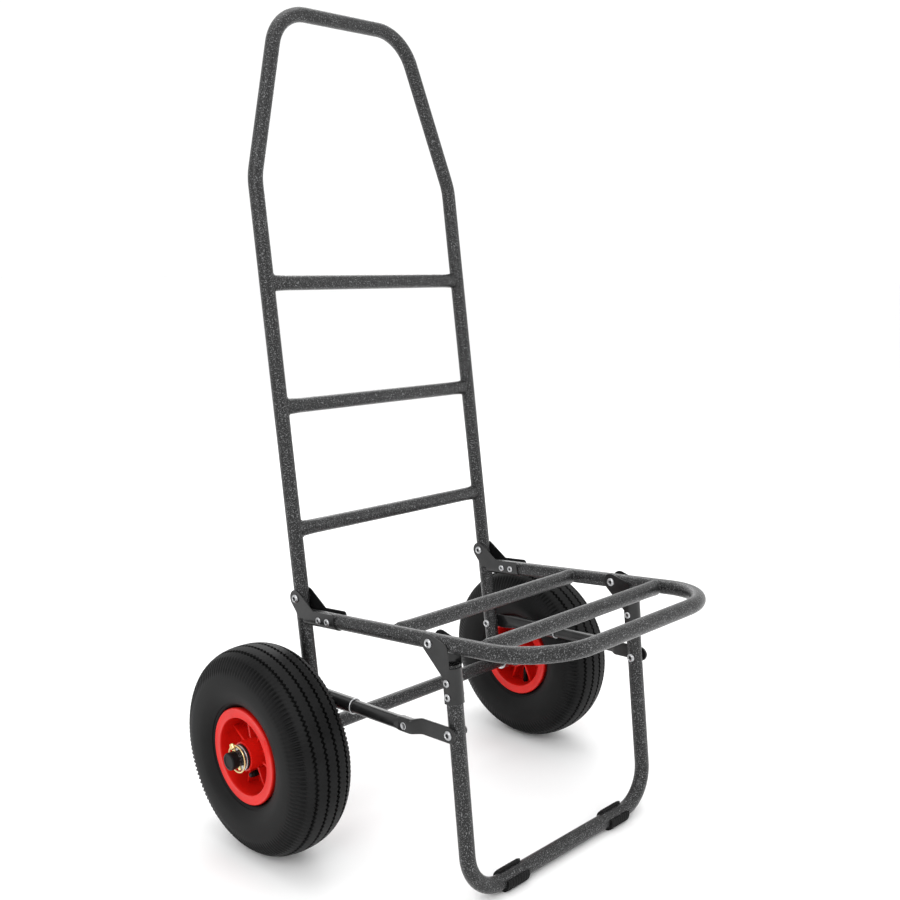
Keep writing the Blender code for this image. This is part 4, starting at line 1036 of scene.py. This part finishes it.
def rib_meshes():
    """Radial ribs of the dish, a little lower at the flange than at the hub."""
    meshes = []
    for number in range(RIBS):
        turn = Matrix.Rotation(math.tau * (number + 0.5) / RIBS, 4, "X")
        for facing in (1, -1):
            low = facing * (WEB_HALF - 0.001)
            root = HUB_RADIUS - 0.002
            end = BARREL + 0.001
            corners = [(low, root), (facing * RIB_HUB_END, root),
                       (facing * RIB_FLANGE_END, end), (low, end)]
            rings = [[Vector((x, side * RIB_HALF, r)) for x, r in corners]
                     for side in (-1, 1)]
            meshes.append(mesh_of(*skin(rings), turn))
    return meshes


def round_bar(path, normal, radius, sides=24):
    """Solid round bar along a flat path."""
    normal = Vector(normal)
    rings = []
    for index, place in enumerate(path):
        side = direction_at(path, index).cross(normal)
        rings.append(ring_at(place, normal * radius, side * radius, sides))
    return skin(rings)


def valve_mesh(sign):
    """Bent stem from the air tube out beside the hub, with a ribbed dust cap."""
    inboard = -sign * VALVE_INBOARD
    top = RIM_RADIUS + VALVE_OVERLAP
    cap = sign * (VALVE_TIP - VALVE_CAP)
    path = rounded([((inboard, 0, -top), 0), ((inboard, 0, -VALVE_FROM_AXIS), VALVE_BEND),
                    ((cap, 0, -VALVE_FROM_AXIS), 0)], 10)
    stem = mesh_of(*round_bar(path, (0, 1, 0), VALVE_RADIUS * VALVE_STEM))
    rings = []
    for along, share in CAP_PROFILE:
        ring = []
        for step in range(48):
            angle = math.tau * step / 48
            ribbed = CAP_RIB if step % 4 < 2 and share > 0.9 else 1.0
            radius = VALVE_RADIUS * share * ribbed
            ring.append(Vector((cap + sign * along, radius * math.cos(angle),
                                -VALVE_FROM_AXIS + radius * math.sin(angle))))
        rings.append(ring)
    return joined([stem, mesh_of(*skin(rings))])


def wheels():
    """Tyre, air tube, rim, valve and two hub bushes on each side."""
    tyre = mesh_of(*tyre_mesh())
    rim = joined([mesh_of(*lathe(rim_section(), 120)), *rib_meshes()])
    skins = []
    for inset in (AIR_OUTSIDE, AIR_OUTSIDE + AIR_WALL):
        section = [oval(angle, TYRE_HALF - inset, TYRE_DEPTH - inset)
                   for angle in range(-60, 241, 12)]
        skins.append(mesh_of(*lathe(section, 96)))
    outer_skin, inner_skin = skins
    inner_skin.flip_normals()
    for side, sign in SIDES.items():
        place = Matrix.Translation(AXLE + Vector((sign * WHEEL_PLACE, 0, 0)))
        for node, source, bevel in (("tyre", tyre, 0), ("rim", rim, 0.0006)):
            mesh = source.copy()
            mesh.transform(place)
            stand_for("%s_%s" % (node, side), mesh, bevel, 40)
        air_tube = joined([outer_skin, inner_skin])
        air_tube.transform(place)
        stand_for("inner_tube_" + side, air_tube)
        stem = valve_mesh(sign)
        stem.transform(place)
        stand_for("valve_" + side, stem)
        for end, facing in (("outer", sign), ("inner", -sign)):
            bush(place, "hub_bush_%s_%s" % (end, side), facing)


def bush(place, node, facing):
    """Flanged hub bush with a rounded flange and a sunk groove round its bore."""
    face = facing * (HUB_HALF + CLEARANCE)
    top = face + facing * BUSH_FLANGE
    groove = top - facing * BUSH_GROOVE
    end = face - facing * BUSH_SLEEVE
    bore = TUBE + 0.0005
    sleeve = HUB_BORE - CLEARANCE
    flange = HUB_RADIUS - 0.002
    profile = [(flange, face), (flange, top - facing * BUSH_EDGE), (flange - BUSH_EDGE, top),
               (0.0138, top), (0.0134, groove), (0.0118, groove), (0.0114, top),
               (bore, top), (bore, end), (sleeve, end), (sleeve, face)]
    stand_for(node, mesh_of(*lathe(profile, 64), place))


# ---- Axle and its ends -------------------------------
def ring_section(inner, outer, low, high, edge):
    """Section of a plain ring with its outer edges chamfered."""
    return [(inner, low), (outer - edge, low), (outer, low + edge), (outer, high - edge),
            (outer - edge, high), (inner, high)]


def axle():
    """Axle tube, its spacers, washers, caps, linch pins and rings."""
    place = Matrix.Translation(AXLE)
    profile = ring_section(TUBE - AXLE_WALL, TUBE, -AXLE_END, AXLE_END, AXLE_EDGE)
    stand_for("axle_tube", mesh_of(*lathe(profile, 64), place))
    for side, sign in SIDES.items():
        for node, edge in (("wheel_spacer", SPACER_EDGE), ("axle_washer", WASHER_EDGE)):
            name = "%s_%s" % (node, side)
            low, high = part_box(name)
            radius = (high.z - low.z) / 2
            profile = ring_section(TUBE + CLEARANCE, radius, low.x, high.x, edge)
            stand_for(name, mesh_of(*lathe(profile, 64), place))
        cap(side, sign, place)
        linch_pin(side)


def cap(side, sign, place):
    """Cap pushed over the axle's end, with a rounded rim and a shallow dish."""
    low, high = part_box("axle_cap_" + side)
    crown, skirt = (high.x, low.x) if sign > 0 else (low.x, high.x)
    outer = (high.z - low.z) / 2
    bore = TUBE + CLEARANCE
    inside = sign * (AXLE_END + CLEARANCE)
    dish = crown - sign * CAP_DISH
    rim = [(outer - CAP_ROUND * (1 - math.cos(a)), crown - sign * CAP_ROUND * (1 - math.sin(a)))
           for a in (math.radians(d) for d in range(0, 91, 15))]
    profile = [(0.0, inside), (bore, inside), (bore, skirt), (outer, skirt), *rim,
               (outer - CAP_RIM, crown), (outer - CAP_RIM - CAP_DISH, dish), (0.0, dish)]
    stand_for("axle_cap_" + side, mesh_of(*lathe(profile, 56, closed=False), place))


def linch_pin(side):
    """Pin across the axle, and the spring ring hinged in its head."""
    hinge = Vector(JOINTS["ring_flip_" + side]["pos_m"])
    here = Vector((hinge.x, AXLE.y, AXLE.z))
    upright = (hinge - here).normalized()
    matrix = station(here, tilt_of(upright))
    stand_up = matrix @ Matrix.Rotation(-math.pi / 2, 4, "Y")
    top = RING + PIN_TOP
    neck = TUBE + PIN_NECK
    tip = -TUBE - PIN_TIP
    waist = PIN_HEAD * 0.86
    profile = [(0.0, top), (PIN_HEAD * 0.55, top), (waist, top - 0.0006),
               (PIN_HEAD, top - 0.0018), (PIN_HEAD, neck + 0.0012), (waist, neck + 0.0004),
               (PIN_SHANK, neck), (PIN_SHANK, tip + 0.0020),
               (PIN_SHANK - 0.0005, tip + 0.0006), (0.0, tip)]
    stand_for("linch_pin_" + side, mesh_of(*lathe(profile, 32, closed=False), stand_up))
    rings = []
    for angle in circle(72):
        away = Vector((0, math.sin(angle), math.cos(angle)))
        across = Vector((RING_WIRE, 0, 0))
        rings.append(ring_at(away * RING, away * RING_WIRE, across, 14))
    stand_for("linch_ring_" + side, mesh_of(*skin(rings, closed_along=True), matrix))


# ---- Feet --------------------------------------------
def feet(bar):
    """C-shaped rubber clips, ribbed across, flat on the floor."""
    bore = TUBE + CLEARANCE
    for side in SIDES:
        node = "rubber_foot_" + side
        low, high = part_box(node)
        sole = bar.z - low.z
        profiles = []
        count = PAD_RIBS * 4
        arc = [math.radians(PAD_START + (PAD_END - PAD_START) * n / PAD_FACETS)
               for n in range(PAD_FACETS + 1)]
        for step in range(count + 1):
            x = low.x + (high.x - low.x) * step / count
            outer = PAD_OUTER - (PAD_RIB_DEPTH if step % 4 in (1, 2) else 0.0)
            outer -= PAD_END_STEP if step in (0, count) else 0.0
            ring = [Vector((x, math.cos(a) * outer, max(math.sin(a) * outer, -sole)))
                    for a in arc]
            ring += [Vector((x, math.cos(a) * bore, math.sin(a) * bore)) for a in reversed(arc)]
            profiles.append(ring)
        matrix = Matrix.Translation((0, bar.y, bar.z))
        stand_for(node, mesh_of(*skin(profiles), matrix))


# ---- Stage, light and camera -------------------------
def stage():
    """White surroundings and a pale plain floor."""
    world = bpy.data.worlds.new("studio")
    world.use_nodes = True
    background = world.node_tree.nodes["Background"]
    background.inputs["Color"].default_value = (1, 1, 1, 1)
    background.inputs["Strength"].default_value = WORLD_STRENGTH
    bpy.context.scene.world = world
    bpy.context.scene.view_settings.view_transform = "Standard"
    corners = [(x * FLOOR_HALF, y * FLOOR_HALF, 0)
               for x, y in ((-1, -1), (1, -1), (1, 1), (-1, 1))]
    mesh = bpy.data.meshes.new("floor")
    mesh.from_pydata(corners, [], [(0, 1, 2, 3)])
    floor = bpy.data.objects.new("floor", mesh)
    look = Look("floor", (0.95, 0.95, 0.95), 0.7)
    look.colour(look.ramp(look.noise(3), [(0.2, (0.945,) * 3), (0.8, (0.955,) * 3)]))
    mesh.materials.append(look.material)
    bpy.context.scene.collection.objects.link(floor)


def softbox(name, place, aim, size, power):
    """Rectangular lamp that faces a point."""
    light = bpy.data.lights.new(name, "AREA")
    light.shape = "RECTANGLE"
    light.size, light.size_y = size
    light.energy = power
    lamp = bpy.data.objects.new(name, light)
    lamp.location = place
    lamp.rotation_euler = (Vector(aim) - Vector(place)).to_track_quat("-Z", "Y").to_euler()
    bpy.context.scene.collection.objects.link(lamp)


def lights():
    for name, (place, size, power) in LAMPS.items():
        softbox(name, place, LAMP_TARGET, size, power)


def camera():
    """Perspective camera, placed and aimed in the frame's axes."""
    lens = bpy.data.cameras.new("camera")
    lens.lens = LENS
    lens.sensor_width = SENSOR
    lens.shift_x, lens.shift_y = SHIFT
    view = bpy.data.objects.new("camera", lens)
    aim = Matrix.Rotation(math.radians(HEADING), 4, "Z")
    aim = aim @ Matrix.Rotation(math.radians(90 + PITCH), 4, "X")
    aim = aim @ Matrix.Rotation(math.radians(ROLL), 4, "Z")
    view.matrix_world = Matrix.Translation(EYE) @ aim
    bpy.context.scene.collection.objects.link(view)
    bpy.context.scene.camera = view


# ---- Build -------------------------------------------
back_frame()
for rung in ("rung_lower", "rung_middle", "rung_upper"):
    cross_tube(rung, BACK, True)
platform_level = platform_frame()
for bar in ("crossbar_rear", "crossbar_front"):
    cross_tube(bar, PLATFORM, False)
leg_level, leg_bar = leg_frame()
upright_brackets(platform_level)
leg_brackets(leg_level)
rivets()
stays()
wheels()
axle()
feet(leg_bar)
stage()
lights()
camera()
